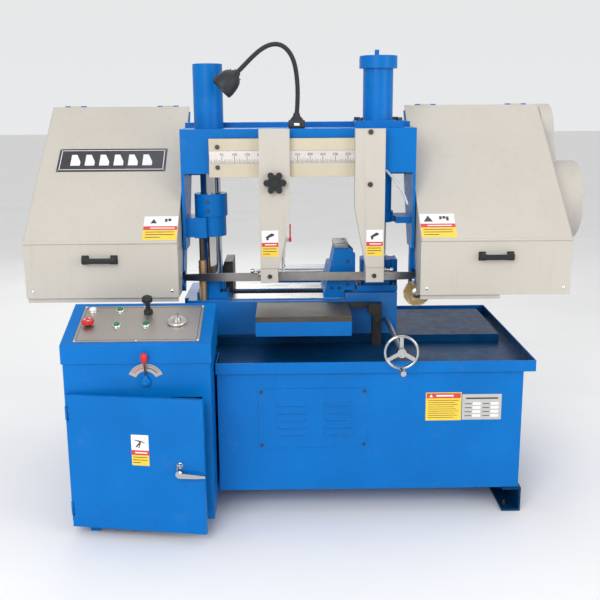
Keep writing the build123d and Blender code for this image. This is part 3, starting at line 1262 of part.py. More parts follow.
def main():
    os.makedirs("parts", exist_ok=True)
    nodes = build_nodes()
    shift = Pos(*machine_offset(nodes))
    print("offset", machine_offset(nodes), "nodes", len(nodes))
    for name, shapes in nodes.items():
        solids = [shift * solid for solid in all_solids(shapes)]
        export_step(Compound(children=solids), os.path.join("parts", name + ".step"))


if __name__ == "__main__":
    main()
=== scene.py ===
"""Looks of a double-column horizontal band saw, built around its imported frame."""
import json
import math
import random

import bmesh
import bpy
from mathutils import Matrix, Vector


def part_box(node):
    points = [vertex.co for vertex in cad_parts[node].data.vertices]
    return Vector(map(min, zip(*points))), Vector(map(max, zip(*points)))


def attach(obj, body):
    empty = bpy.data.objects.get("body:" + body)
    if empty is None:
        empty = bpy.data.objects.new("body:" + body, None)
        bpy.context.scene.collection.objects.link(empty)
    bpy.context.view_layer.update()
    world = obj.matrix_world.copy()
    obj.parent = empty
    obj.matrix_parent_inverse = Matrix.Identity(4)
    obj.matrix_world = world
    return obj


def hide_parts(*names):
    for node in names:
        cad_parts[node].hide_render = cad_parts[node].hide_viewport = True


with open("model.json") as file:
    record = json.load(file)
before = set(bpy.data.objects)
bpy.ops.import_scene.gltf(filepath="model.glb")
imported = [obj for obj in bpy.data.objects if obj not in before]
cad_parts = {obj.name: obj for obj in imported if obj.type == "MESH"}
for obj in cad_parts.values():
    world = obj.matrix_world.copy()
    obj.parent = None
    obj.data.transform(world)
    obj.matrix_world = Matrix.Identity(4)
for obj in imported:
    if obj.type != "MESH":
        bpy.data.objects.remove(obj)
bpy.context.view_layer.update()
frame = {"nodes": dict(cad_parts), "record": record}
RNG = random.Random(35)
NODES = frame["nodes"]

# Machine coordinates are those of the CAD: millimetres, X to the operator's right, Y away
# from the front of the base, Z up. BASE_CORNER is the base cabinet's lowest corner there.
MM = 0.001
BASE_CORNER = Vector((-800.0, 0.0, 98.0)) * MM
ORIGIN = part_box("base_cabinet")[0] - BASE_CORNER
MACHINE = Matrix.Translation(ORIGIN) @ Matrix.Scale(MM, 4)


def at(x, y, z):
    """Machine millimetres to a point of the row frame."""
    return ORIGIN + Vector((x, y, z)) * MM


def node_box(name):
    """A CAD node's lowest and highest corners in machine millimetres."""
    return [(corner - ORIGIN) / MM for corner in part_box(name)]


# ---------------------------------------------------------------- node helpers
class Nodes:
    """Node tree under construction: short calls that add nodes and return their sockets."""

    def __init__(self, owner, shader="Principled BSDF", space="Object"):
        owner.use_nodes = True
        self.owner = owner
        self.tree = owner.node_tree
        self.shader = self.tree.nodes[shader]
        self.where = self.add("ShaderNodeTexCoord").outputs[space]

    def fill(self, socket, value):
        """Link a socket, or set a number or colour."""
        if isinstance(value, bpy.types.NodeSocket):
            self.tree.links.new(value, socket)
        elif isinstance(value, tuple) and len(value) == 3 and socket.type == "RGBA":
            socket.default_value = (*value, 1.0)
        else:
            socket.default_value = value

    def add(self, kind, inputs=None, **settings):
        made = self.tree.nodes.new(kind)
        for key, value in settings.items():
            setattr(made, key, value)
        for key, value in (inputs or {}).items():
            self.fill(made.inputs[key], value)
        return made

    def feed(self, **inputs):
        """Fill shader inputs, named with underscores for spaces."""
        for key, value in inputs.items():
            self.fill(self.shader.inputs[key.replace("_", " ")], value)

    def axes(self):
        return self.add("ShaderNodeSeparateXYZ", {"Vector": self.where}).outputs

    def noise(self, scale, detail=4.0, rough=0.55, stretch=None):
        """Noise value at a place, optionally stretched along the axes."""
        where = self.where
        if stretch:
            where = self.add("ShaderNodeMapping", {"Vector": where, "Scale": stretch}).outputs["Vector"]
        inputs = {"Vector": where, "Scale": scale, "Detail": detail, "Roughness": rough}
        return self.add("ShaderNodeTexNoise", inputs).outputs["Fac"]

    def remap(self, value, low, high, out_low=0.0, out_high=1.0):
        inputs = {"Value": value, "From Min": low, "From Max": high, "To Min": out_low, "To Max": out_high}
        return self.add("ShaderNodeMapRange", inputs).outputs["Result"]

    def calc(self, operation, a, b=0.0):
        return self.add("ShaderNodeMath", {0: a, 1: b}, operation=operation).outputs[0]

    def times(self, *values):
        """Product of masks."""
        product = values[0]
        for value in values[1:]:
            product = self.calc("MULTIPLY", product, value)
        return product

    def blend(self, factor, a, b):
        made = self.add("ShaderNodeMix", data_type="RGBA")
        sockets = {socket.identifier: socket for socket in made.inputs}
        for key, value in (("Factor_Float", factor), ("A_Color", a), ("B_Color", b)):
            self.fill(sockets[key], value)
        return next(socket for socket in made.outputs if socket.identifier == "Result_Color")

    def bump(self, height, strength, distance, normal=None):
        inputs = {"Height": height, "Strength": strength, "Distance": distance}
        if normal is not None:
            inputs["Normal"] = normal
        return self.add("ShaderNodeBump", inputs).outputs["Normal"]

    def soft_edge(self, radius):
        """Rounded-edge normal, and a mask that is 1 along the edges."""
        rounded = self.add("ShaderNodeBevel", {"Radius": radius}, samples=6).outputs["Normal"]
        plain = self.add("ShaderNodeNewGeometry").outputs["Normal"]
        dot = self.add("ShaderNodeVectorMath", {0: rounded, 1: plain}, operation="DOT_PRODUCT")
        return rounded, self.remap(dot.outputs["Value"], 0.995, 0.86)


def shaded(colour, factor):
    return tuple(c * factor for c in colour)


# ---------------------------------------------------------------- materials
IRON_RUST, IRON_OIL = (0.080, 0.058, 0.040), (0.028, 0.026, 0.024)
DUST = (0.35, 0.33, 0.30)
RUBBED_CASTING = (0.26, 0.33, 0.42)


def painted(name, colour, shade=0.86, rough=0.36, wear=0.55, chip=(0.30, 0.34, 0.40), peel=0.10, dust=0.06):
    """Sprayed machine enamel: orange peel, slow colour drift, rubbed edges and dust."""
    n = Nodes(bpy.data.materials.new(name))
    body = n.blend(n.remap(n.noise(3.0, 3.0), 0.35, 0.7), colour, shaded(colour, shade))
    streak = n.noise(6.0, 5.0, 0.6, (6.0, 6.0, 0.7))
    body = n.blend(n.remap(streak, 0.55, 0.85, 0.0, 0.35), body, shaded(colour, 0.72))
    rounded, edge = n.soft_edge(0.0016)
    worn = n.times(edge, n.remap(n.noise(85.0, 3.0), 0.52, 0.66), wear)
    body = n.blend(worn, body, chip)
    grime = n.remap(n.noise(14.0, 6.0, 0.65), 0.58, 0.8, 0.0, dust)
    gloss = n.remap(n.noise(22.0, 4.0), 0.3, 0.75, rough - 0.07, rough + 0.10)
    n.feed(
        Base_Color=n.blend(grime, body, DUST),
        Roughness=n.calc("ADD", gloss, n.times(worn, 0.2)),
        Normal=n.bump(n.noise(420.0, 2.0), peel, 0.0004, rounded),
        Specular_IOR_Level=0.13,
        Coat_Weight=0.04,
        Coat_Roughness=0.12,
    )
    return n.owner


def metal(name, colour, rough=0.25, grain=(1.0, 1.0, 30.0), scratch=0.12, tint=(0.0, 0.0, 0.0), stain=0.0):
    """Machined metal with directional grain, faint stains and softened edges."""
    n = Nodes(bpy.data.materials.new(name))
    lines = n.noise(60.0, 5.0, 0.7, grain)
    patch = n.remap(n.noise(7.0, 5.0), 0.45, 0.75, 0.0, stain)
    body = n.blend(n.remap(lines, 0.3, 0.7, 0.0, 0.4), colour, shaded(colour, 0.7))
    gloss = n.remap(lines, 0.25, 0.75, max(0.04, rough - 0.08), rough + 0.12)
    n.feed(
        Base_Color=n.blend(patch, body, tint),
        Metallic=1.0,
        Roughness=n.calc("ADD", gloss, n.times(patch, 0.3)),
        Normal=n.bump(lines, scratch, 0.0003, n.soft_edge(0.0008)[0]),
    )
    return n.owner


def plastic(name, colour, rough=0.4, texture=0.15, coat=0.0):
    """Moulded plastic with a fine grain and slightly polished high spots."""
    n = Nodes(bpy.data.materials.new(name))
    drift = n.remap(n.noise(30.0, 4.0), 0.35, 0.7)
    n.feed(
        Base_Color=n.blend(drift, colour, tuple(c * 0.8 + 0.004 for c in colour)),
        Roughness=n.remap(drift, 0.0, 1.0, rough - 0.05, rough + 0.07),
        Normal=n.bump(n.noise(900.0, 2.0), texture, 0.0003, n.soft_edge(0.001)[0]),
        Coat_Weight=coat,
        Specular_IOR_Level=0.3,
    )
    return n.owner


def machined_iron(name):
    """Nodes of bare table iron: planed grey surface with rust blooms and oil, and its colour."""
    n = Nodes(bpy.data.materials.new(name))
    planed = n.noise(34.0, 6.0, 0.7, (1.0, 16.0, 16.0))
    bloom = n.remap(n.noise(9.0, 7.0, 0.68, (0.7, 1.6, 1.6)), 0.42, 0.68)
    oil = n.remap(n.noise(5.0, 4.0), 0.52, 0.72)
    body = n.blend(n.remap(planed, 0.3, 0.7), (0.098, 0.096, 0.086), (0.055, 0.052, 0.047))
    body = n.blend(n.times(bloom, 0.7), body, IRON_RUST)
    n.feed(
        Metallic=0.65,
        Roughness=n.calc("ADD", n.remap(planed, 0.2, 0.8, 0.36, 0.62), n.times(oil, -0.16)),
        Normal=n.bump(planed, 0.25, 0.0006, n.soft_edge(0.0015)[0]),
    )
    return n, n.blend(n.times(oil, 0.6), body, IRON_OIL)


def bed_casting(name, ways_low, gap_rows, paint):
    """Painted casting with bare machined ways, and painted near-black shade in the gap between them."""
    n = Nodes(bpy.data.materials.new(name))
    axes = n.axes()
    left, right, top = ways_low
    between = n.times(n.calc("GREATER_THAN", axes["X"], left), n.calc("LESS_THAN", axes["X"], right))
    bare = n.times(n.calc("GREATER_THAN", axes["Z"], top), between)
    near, far = gap_rows
    gap_shade = n.times(n.calc("GREATER_THAN", axes["Y"], near), n.calc("LESS_THAN", axes["Y"], far), between)
    lines = n.noise(40.0, 6.0, 0.7, (1.0, 22.0, 22.0))
    smear = n.remap(n.noise(7.0, 5.0, 0.6, (1.0, 2.0, 1.0)), 0.5, 0.7)
    steel = n.blend(n.remap(lines, 0.3, 0.7), (0.62, 0.62, 0.60), (0.40, 0.40, 0.39))
    steel = n.blend(n.times(smear, 0.7), steel, (0.10, 0.10, 0.10))
    cast = n.noise(3.0, 4.0)
    coat = n.blend(n.remap(cast, 0.35, 0.7), paint, shaded(paint, 0.7))
    # Painted shade: the floor and walls of the gap between the ways turn near black.
    coat = n.blend(gap_shade, coat, (0.022, 0.022, 0.024))
    rounded, edge = n.soft_edge(0.003)
    rub = n.times(edge, n.remap(n.noise(60.0, 4.0), 0.5, 0.62), 0.5)
    coat = n.blend(rub, coat, RUBBED_CASTING)
    n.feed(
        Base_Color=n.blend(bare, coat, steel),
        Metallic=bare,
        Roughness=n.calc("ADD", n.times(bare, -0.14), n.remap(cast, 0.3, 0.7, 0.34, 0.46)),
        Normal=n.bump(n.noise(160.0, 5.0), 0.22, 0.0008, rounded),
    )
    return n.owner


def steel_scale(name, x_zero):
    """Printed rule: pale metal with ticks every 5 mm, longer each 10 and 50 mm."""
    n = Nodes(bpy.data.materials.new(name))
    axes = n.axes()
    low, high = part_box("ruler_scale")
    x = n.calc("SUBTRACT", axes["X"], x_zero)
    height = n.remap(axes["Z"], low.z, high.z)
    marks = 0.0
    for pitch, reach, width in ((0.005, 0.22, 0.0007), (0.010, 0.34, 0.0008), (0.050, 0.55, 0.0011)):
        line = n.calc("LESS_THAN", n.calc("PINGPONG", x, pitch / 2), width)
        marks = n.calc("MAXIMUM", n.times(line, n.calc("LESS_THAN", height, reach)), marks)
    smudge = n.remap(n.noise(16.0, 5.0, 0.6, (1.0, 1.0, 3.0)), 0.4, 0.75)
    steel = n.blend(smudge, (0.74, 0.70, 0.68), (0.56, 0.50, 0.47))
    n.feed(
        Base_Color=n.blend(marks, steel, (0.10, 0.09, 0.09)),
        Metallic=0.45,
        Roughness=n.remap(smudge, 0.0, 1.0, 0.25, 0.42),
    )
    return n.owner


def printed(name, colour, rough=0.4):
    """Printed film or plate: even colour with slight fading and a soft sheen."""
    n = Nodes(bpy.data.materials.new(name))
    fade = n.remap(n.noise(40.0, 5.0), 0.35, 0.75)
    n.feed(
        Base_Color=n.blend(fade, colour, tuple(min(1.0, c * 0.88 + 0.02) for c in colour)),
        Roughness=n.remap(fade, 0.0, 1.0, rough - 0.06, rough + 0.08),
        Coat_Weight=0.3,
    )
    return n.owner


def glass(name, colour=(1.0, 1.0, 1.0), glow=0.0, transmission=0.85, rough=0.08):
    """Rippled glass or clear plastic, with an optional glow."""
    n = Nodes(bpy.data.materials.new(name))
    ripple = n.noise(260.0, 3.0)
    n.feed(
        Base_Color=n.blend(n.remap(ripple, 0.3, 0.7), colour, shaded(colour, 0.92)),
        Roughness=n.remap(ripple, 0.2, 0.8, rough, rough + 0.08),
        Normal=n.bump(ripple, 0.2, 0.0005),
        Transmission_Weight=transmission,
        Emission_Color=colour,
        Emission_Strength=glow,
    )
    return n.owner


def chip_tray_paint(name, outside, inside, low, high):
    """Same enamel outside; within the rim a dark navy that is painted shade together with oil, mottled
    darker by coolant and chips.
    """
    n = Nodes(painted(name, outside, rough=0.38))
    axes = n.axes()
    above = [n.calc("GREATER_THAN", axes[axis], edge) for axis, edge in zip("XY", low)]
    below = [n.calc("LESS_THAN", axes[axis], edge) for axis, edge in zip("XYZ", high)]
    damp = n.remap(n.noise(4.0, 6.0, 0.62), 0.35, 0.72)
    # Inside the rim: painted shade of the tray's interior, darker still in coolant patches.
    shade_and_coolant = n.blend(damp, inside, shaded(inside, 0.45))
    enamel = n.shader.inputs["Base Color"].links[0].from_socket
    n.feed(Base_Color=n.blend(n.times(*above, *below), enamel, shade_and_coolant))
    return n.owner


def table_and_edge_bar(name, split):
    """Table iron in front of the split line, blackened bar iron behind it."""
    n, iron = machined_iron(name)
    axes = n.axes()
    behind = n.calc("GREATER_THAN", axes["Y"], split.y)
    beside = n.calc("GREATER_THAN", axes["X"], split.x)
    scale = n.remap(n.noise(38.0, 5.0), 0.35, 0.7)
    black = n.blend(scale, (0.026, 0.026, 0.027), (0.048, 0.046, 0.045))
    n.feed(Base_Color=n.blend(n.calc("MAXIMUM", behind, beside), iron, black))
    return n.owner


BLUE = (0.0, 0.150, 0.50)
# Dark navy of the tray's inside: painted shade together with oil.
TRAY_SHADE_NAVY = (0.0, 0.045, 0.135)
GREY = (0.535, 0.50, 0.445)
WAYS = (at(-290, 0, 0).x, at(199, 0, 0).x, at(0, 0, 749.2).z)

MATERIALS = {
    "blue_paint": painted("enamel_blue", BLUE),
    "navy_paint": chip_tray_paint("enamel_tray_inner_shade", BLUE, TRAY_SHADE_NAVY, at(-826, -8, 0), at(877, 895, 609.5)),
    "grey_paint": painted("enamel_warm_grey", GREY, shade=0.95, rough=0.44, wear=0.15, dust=0.03,
                          peel=0.06),
    "cream_paint": painted("enamel_cream", (0.60, 0.53, 0.405), shade=0.85, rough=0.4, dust=0.10),
    "chrome": metal("hard_chrome", (0.50, 0.50, 0.51), rough=0.10, grain=(8.0, 8.0, 0.4), scratch=0.03),
    "bright_steel": metal("ground_steel", (0.56, 0.56, 0.55), rough=0.28, stain=0.3,
                          tint=(0.25, 0.20, 0.15)),
    "band_steel": metal("band_steel", (0.36, 0.345, 0.33), rough=0.34, grain=(0.6, 12.0, 12.0), stain=0.55,
                        tint=(0.16, 0.125, 0.10)),
    "dark_steel": metal("dark_steel", (0.10, 0.085, 0.075), rough=0.5, stain=0.7, tint=(0.10, 0.055, 0.03)),
    "table_iron": table_and_edge_bar("table_iron", at(204, 374.2, 0)),
    "bed_iron": bed_casting("bed_casting_paint", WAYS, (at(0, 567, 0).y, at(0, 661, 0).y), BLUE),
    "bolt_steel": metal("black_oxide", (0.075, 0.075, 0.08), rough=0.38, stain=0.3,
                        tint=(0.12, 0.08, 0.05)),
    "bronze": metal("lacquered_bronze", (0.60, 0.40, 0.22), rough=0.4, stain=0.5, tint=(0.34, 0.20, 0.10)),
    "brass_wire": metal("brass_wire", (0.80, 0.58, 0.27), rough=0.42, stain=0.3, tint=(0.52, 0.38, 0.20)),
    "white_scale": steel_scale("rule_print", at(-351, 0, 0).x),
    "panel_aluminium": metal("panel_aluminium", (0.50, 0.465, 0.435), rough=0.42, grain=(1.0, 24.0, 24.0)),
    "motor_paint": painted("enamel_motor", (0.01, 0.12, 0.36), rough=0.45, dust=0.2),
    "gearbox_paint": painted("enamel_casting", BLUE, rough=0.40, dust=0.12, peel=0.3),
    "pulley_iron": metal("turned_iron", (0.26, 0.26, 0.27), rough=0.42, stain=0.4, tint=(0.10, 0.08, 0.07)),
    "belt_rubber": plastic("belt_rubber", (0.015, 0.015, 0.016), rough=0.7, texture=0.4),
    "black_plastic": plastic("black_plastic", (0.016, 0.017, 0.019), rough=0.42),
    "red_plastic": plastic("red_plastic", (0.62, 0.015, 0.012), rough=0.3, coat=0.4),
    "green_plastic": plastic("green_plastic", (0.005, 0.20, 0.06), rough=0.3, coat=0.4),
    "lamp_neck": plastic("lamp_neck_rubber", (0.022, 0.024, 0.028), rough=0.5),
    "lamp_shell": plastic("lamp_shell", (0.025, 0.028, 0.033), rough=0.45, texture=0.25),
    "valve_body": plastic("valve_white", (0.72, 0.70, 0.66), rough=0.3, coat=0.3),
    "dial_metal": metal("turned_aluminium", (0.66, 0.64, 0.62), rough=0.3, grain=(6.0, 6.0, 6.0)),
    "lever_metal": metal("lever_steel", (0.12, 0.12, 0.125), rough=0.35),
}
PRINT_WHITE = printed("print_white", (0.82, 0.82, 0.84))
PRINT_RED = printed("print_red", (0.62, 0.03, 0.03))
PRINT_YELLOW = printed("print_yellow", (0.86, 0.58, 0.03))
PRINT_BLACK = printed("print_black", (0.015, 0.015, 0.018))
PRINT_GREY = printed("print_grey", (0.48, 0.47, 0.45))
BEZEL = metal("bezel_chrome", (0.74, 0.74, 0.75), rough=0.16, grain=(4.0, 4.0, 4.0))


def dress_cad_nodes():
    """Give every CAD node the material of its slot in the record."""
    slots = {part["node"]: part["material_slot"] for part in frame["record"]["subparts"]}
    for name, thing in NODES.items():
        thing.data.materials.clear()
        thing.data.materials.append(MATERIALS[slots[name]])


# ---------------------------------------------------------------- mesh helpers
def finish_piece(name, bm, body, slot, replaces=(), smooth=40.0, materials=None):
    """Turn a bmesh in row-frame metres into a piece that rides on a body, in its slot's material."""
    bmesh.ops.remove_doubles(bm, verts=bm.verts, dist=1e-6)
    bmesh.ops.recalc_face_normals(bm, faces=bm.faces)
    mesh = bpy.data.meshes.new(name)
    bm.to_mesh(mesh)
    bm.free()
    for material in materials or [MATERIALS[slot]]:
        mesh.materials.append(material)
    mesh.polygons.foreach_set("use_smooth", [True] * len(mesh.polygons))
    mesh.set_sharp_from_angle(angle=math.radians(smooth))
    thing = bpy.data.objects.new(name, mesh)
    bpy.context.scene.collection.objects.link(thing)
    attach(thing, body)
    if replaces:
        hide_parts(*replaces)
    return thing


def add_block(bm, low, high, radius=0.0, index=0, matrix=MACHINE, segments=2):
    """Bevelled block between two corners, in millimetres of the matrix's frame."""
    low, high = Vector(low), Vector(high)
    made = bmesh.ops.create_cube(bm, size=1.0)["verts"]
    for vert in made:
        vert.co = (low + high) / 2 + Vector(a * b for a, b in zip(vert.co, high - low))
    faces = {face for vert in made for face in vert.link_faces}
    if radius:
        edges = list({edge for vert in made for edge in vert.link_edges})
        result = bmesh.ops.bevel(bm, geom=edges, offset=radius, segments=segments, affect="EDGES",
                                 profile=0.5)
        made = result["verts"] + [v for v in made if v.is_valid]
        faces = {face for vert in made for face in vert.link_faces}
    for face in faces:
        face.material_index = index
    bmesh.ops.transform(bm, matrix=matrix, verts=list({v for face in faces for v in face.verts}))
    return faces


def add_turned(bm, profile, matrix, segments=32, index=0, closed=False):
    """Surface of revolution of (radius, height) points about the matrix's Z."""
    rings = []
    for radius, height in profile:
        if radius <= 1e-9:
            rings.append([bm.verts.new(matrix @ Vector((0, 0, height)))])
            continue
        ring = []
        for step in range(segments):
            angle = 2 * math.pi * step / segments
            spot = Vector((radius * math.cos(angle), radius * math.sin(angle), height))
            ring.append(bm.verts.new(matrix @ spot))
        rings.append(ring)
    pairs = list(zip(rings, rings[1:]))
    if closed:
        pairs.append((rings[-1], rings[0]))
    for first, second in pairs:
        for step in range(segments):
            after = (step + 1) % segments
            corners = []
            for ring, order in ((first, (step, after)), (second, (after, step))):
                if len(ring) == 1:
                    corners.append(ring[0])
                else:
                    corners += [ring[order[0]], ring[order[1]]]
            if len(corners) > 2:
                bm.faces.new(corners).material_index = index


def add_tube(bm, points, radius, segments=12, index=0, wave=None):
    """Round tube, its radius in millimetres, through points; wave(i) scales it at each."""
    previous = None
    ring_before = None
    for i, point in enumerate(points):
        ahead = points[min(i + 1, len(points) - 1)]
        behind = points[max(i - 1, 0)]
        along = (ahead - behind).normalized()
        if previous is None:
            previous = along.orthogonal().normalized()
        side = (previous - along * previous.dot(along)).normalized()
        previous = side
        other = along.cross(side)
        size = radius * MM * (wave(i) if wave else 1.0)
        ring = []
        for step in range(segments):
            angle = 2 * math.pi * step / segments
            ring.append(bm.verts.new(point + (side * math.cos(angle) + other * math.sin(angle)) * size))
        if ring_before:
            for step in range(segments):
                after = (step + 1) % segments
                face = bm.faces.new((ring_before[step], ring_before[after], ring[after], ring[step]))
                face.material_index = index
        else:
            bm.faces.new(ring).material_index = index
        ring_before = ring
    bm.faces.new(list(reversed(ring_before))).material_index = index


def add_plate(bm, outline, thick, matrix, index=0):
    """Flat polygon of (x, y) points raised by thick along the matrix's Z."""
    bottom = [bm.verts.new(matrix @ Vector((x, y, 0.0))) for x, y in outline]
    top = [bm.verts.new(matrix @ Vector((x, y, thick))) for x, y in outline]
    count = len(outline)
    faces = [bm.faces.new(list(reversed(bottom))), bm.faces.new(top)]
    for i in range(count):
        j = (i + 1) % count
        faces.append(bm.faces.new((bottom[i], bottom[j], top[j], top[i])))
    for face in faces:
        face.material_index = index


def add_arc(bm, inner, outer, start, end, steps, thick, matrix, index=0):
    """Flat ring segment between two angles in degrees, as a row of small plates."""
    for step in range(steps):
        first, last = (math.radians(start + (end - start) * (step + k) / steps) for k in (0, 1))
        corners = ((inner, first), (outer, first), (outer, last), (inner, last))
        add_plate(bm, [(r * math.cos(a), r * math.sin(a)) for r, a in corners], thick, matrix, index)


def add_border(bm, half_x, half_y, inset, line, thick, matrix, index=0):
    """Thin frame line set in from the edges of a plate centred on the matrix."""
    x, y = half_x - inset, half_y - inset
    for outline in (
        (-x, x, -y, -y + line),
        (-x, x, y - line, y),
        (-x, -x + line, -y, y),
        (x - line, x, -y, y),
    ):
        add_plate(bm, rectangle(*outline), thick, matrix, index)


def rectangle(x0, x1, y0, y1):
    return [(x0, y0), (x1, y0), (x1, y1), (x0, y1)]


def facing(origin, right, up):
    """Frame in millimetres whose X, Y and Z are right, up and out of a face."""
    right, up = Vector(right).normalized(), Vector(up).normalized()
    out = right.cross(up)
    basis = Matrix((right, up, out)).transposed().to_4x4()
    return Matrix.Translation(origin) @ basis @ Matrix.Scale(MM, 4)


def upright(x, y, z):
    """Frame in millimetres at a machine point, with the machine's own axes."""
    return MACHINE @ Matrix.Translation((x, y, z))


def front_face(x, y, z):
    """Frame of a face that looks at the operator."""
    return facing(at(x, y, z), (1, 0, 0), (0, 0, 1))


def add_screw(bm, matrix, radius, index=0, height=None):
    """Socket-head screw: chamfered disc with a hexagon recess."""
    height = height or radius * 0.6
    rim = radius * 0.9
    add_turned(bm, [(radius, 0), (radius, height * 0.8), (rim, height), (radius * 0.5, height)], matrix,
               24, index)
    recess = [(radius * 0.5, height), (radius * 0.46, height * 0.45), (0.0, height * 0.4)]
    add_turned(bm, recess, matrix, 24, index)


def smooth_route(points, per_span=12):
    """Even points on a NURBS-like curve through a given route."""
    data = bpy.data.curves.new("route", "CURVE")
    data.dimensions = "3D"
    data.resolution_u = per_span
    spline = data.splines.new("NURBS")
    spline.points.add(len(points) - 1)
    for place, point in zip(spline.points, points):
        place.co = (*point, 1.0)
    spline.order_u = 4
    spline.use_endpoint_u = True
    thing = bpy.data.objects.new("route", data)
    mesh = bpy.data.meshes.new_from_object(thing)
    line = [v.co.copy() for v in mesh.vertices]
    bpy.data.objects.remove(thing)
    bpy.data.meshes.remove(mesh)
    bpy.data.curves.remove(data)
    return line


def resample(line, spacing):
    """Points of a polyline at an even spacing in millimetres."""
    spacing *= MM
    out, carried = [line[0].copy()], 0.0
    for a, b in zip(line, line[1:]):
        length = (b - a).length
        while length and carried + length >= spacing:
            step = spacing - carried
            a = a + (b - a).normalized() * step
            out.append(a.copy())
            length = (b - a).length
            carried = 0.0
        carried += length
    return out


# ---------------------------------------------------------------- pieces: guards
SLOPE_RUN, SLOPE_RISE = 600.0, 506.0
GUARD_FRONT_Y, RIDGE_Z = 250.0, 1032.0


def slope_face(x, along):
    """Frame on the sloping guard face, along measured up from the ridge."""
    length = math.hypot(SLOPE_RUN, SLOPE_RISE)
    up = Vector((0, SLOPE_RUN / length, SLOPE_RISE / length))
    start = at(x, GUARD_FRONT_Y, RIDGE_Z) + up * along * MM
    return facing(start, (1, 0, 0), up)


def around(place, count, offset=0.0):
    """The frame turned about its Z axis in equal steps."""
    return [place @ Matrix.Rotation(2 * math.pi * (step + offset) / count, 4, "Z") for step in range(count)]


def scaled(points, size):
    return [(x * size, y * size) for x, y in points]


WEDGE = [(-1.0, -0.15), (-0.75, -0.5), (1.0, 0.25), (0.9, 0.6), (0.35, 0.75), (-0.3, 0.35)]
DROP = [(-1.0, -0.9), (-0.45, -0.95), (-0.2, -0.45), (-0.75, -0.35)]
TRIANGLE = [(-0.9, -0.75), (0.9, -0.75), (0.0, 0.85)]
BLOCKS = [rectangle(-1.0, -0.45, -0.2, 0.7), rectangle(-0.3, 0.35, 0.0, 0.75),
          rectangle(0.45, 1.0, -0.55, 0.6)]


def sticker(name, body, matrix, width, height, white, symbols):
    """Three-band sticker: white field with plain symbols, red band, yellow field with rules."""
    bm = bmesh.new()
    white_low = height * (1 - white)
    red_low = white_low - height * 0.16
    film = 0.35
    lift = Matrix.Translation((0, 0, film))
    add_plate(bm, rectangle(0, width, white_low, height), film, matrix, 0)
    add_plate(bm, rectangle(0, width, red_low, white_low), film, matrix, 1)
    add_plate(bm, rectangle(0, width, 0, red_low), film, matrix, 2)
    field = (height - white_low) * 0.36
    for centre, shape in symbols:
        place = Matrix.Translation((width * centre, white_low + (height - white_low) * 0.5, 0))
        for outline in shape:
            add_plate(bm, scaled(outline, field), 0.12, matrix @ lift @ place, 3)
    for row in range(3):
        y = red_low * (0.76 - 0.26 * row)
        end = width * (0.9 if row < 2 else 0.5)
        add_plate(bm, rectangle(width * 0.07, end, y, y + red_low * 0.07), 0.1, matrix @ lift, 3)
    y = (red_low + white_low) / 2
    add_plate(bm, rectangle(width * 0.2, width * 0.9, y - height * 0.02, y + height * 0.02), 0.1,
              matrix @ lift, 0)
    return finish_piece(name, bm, body, "white_scale",
                        materials=[PRINT_WHITE, PRINT_RED, PRINT_YELLOW, PRINT_BLACK])


def name_plate():
    """Dark plate with a light border and a plain row of saw-tooth bars."""
    bm = bmesh.new()
    place = slope_face(-1002, 382)
    width, height, thick = 452, 134, 2.2
    add_plate(bm, rectangle(0, width, 0, height), thick, place, 0)
    lift = place @ Matrix.Translation((0, 0, thick))
    middle = lift @ Matrix.Translation((width / 2, height / 2, 0))
    add_border(bm, width / 2, height / 2, 9, 3, 0.4, middle, 1)
    pitch, count = 60, 6
    start = (width - pitch * count) / 2 + 8
    for step in range(count):
        x = start + step * pitch
        tooth = [(x, 34), (x + 40, 34), (x + 40, 56), (x + 22, 98), (x, 98)]
        add_plate(bm, tooth, 0.5, lift, 1)
    for x in (5, width - 5):
        for y in (5, height - 5):
            add_turned(bm, [(2.4, 0), (2.0, 1.0), (0, 1.3)], lift @ Matrix.Translation((x, y, 0)),
                       16, 2)
    return finish_piece("left_cover_plate", bm, "left_cover", "black_plastic",
                        materials=[PRINT_BLACK, PRINT_WHITE, BEZEL])


def bow_handle(name, body, x_left, x_right, z_middle):
    """Moulded pull handle: two feet and a square bow."""
    bm = bmesh.new()
    place = front_face((x_left + x_right) / 2, GUARD_FRONT_Y, z_middle)
    half = (x_right - x_left) / 2
    for side in (-1, 1):
        add_block(bm, (side * half - 14, -18, 0), (side * half + 14, 18, 5), 2.2, 0, place, 3)
        inner, outer = sorted((side * (half - 12), side * (half + 10)))
        add_block(bm, (inner, -13, 4), (outer, 13, 34), 4, 0, place, 3)
        add_turned(bm, [(5, 0), (5, 1.2), (4, 1.8), (0, 1.4)],
                   place @ Matrix.Translation((side * (half + 1), 0, 33.2)), 20, 0)
    add_block(bm, (-half, -11, 22), (half, 10, 36), 5, 0, place, 4)
    return finish_piece(name, bm, body, "black_plastic")


def guard_trim(name, body, x_left, x_right):
    """Folded hem under the ridge and the rounded bend line of the cover sheet."""
    bm = bmesh.new()
    y, z = GUARD_FRONT_Y, RIDGE_Z
    profile = [(y + 1.0, z + 0.6), (y - 4.5, z - 2.0), (y - 5.6, z - 6.5), (y - 4.8, z - 10.5),
               (y - 0.5, z - 12.0)]
    rings = []
    for x in (x_left, x_right):
        rings.append([bm.verts.new(at(x, py, pz)) for py, pz in profile])
    for a, b in zip(range(len(profile)), range(1, len(profile))):
        bm.faces.new((rings[0][a], rings[0][b], rings[1][b], rings[1][a]))
    bm.faces.new(rings[0])
    bm.faces.new(list(reversed(rings[1])))
    bm.faces.new((rings[0][-1], rings[0][0], rings[1][0], rings[1][-1]))
    return finish_piece(name, bm, body, "grey_paint")


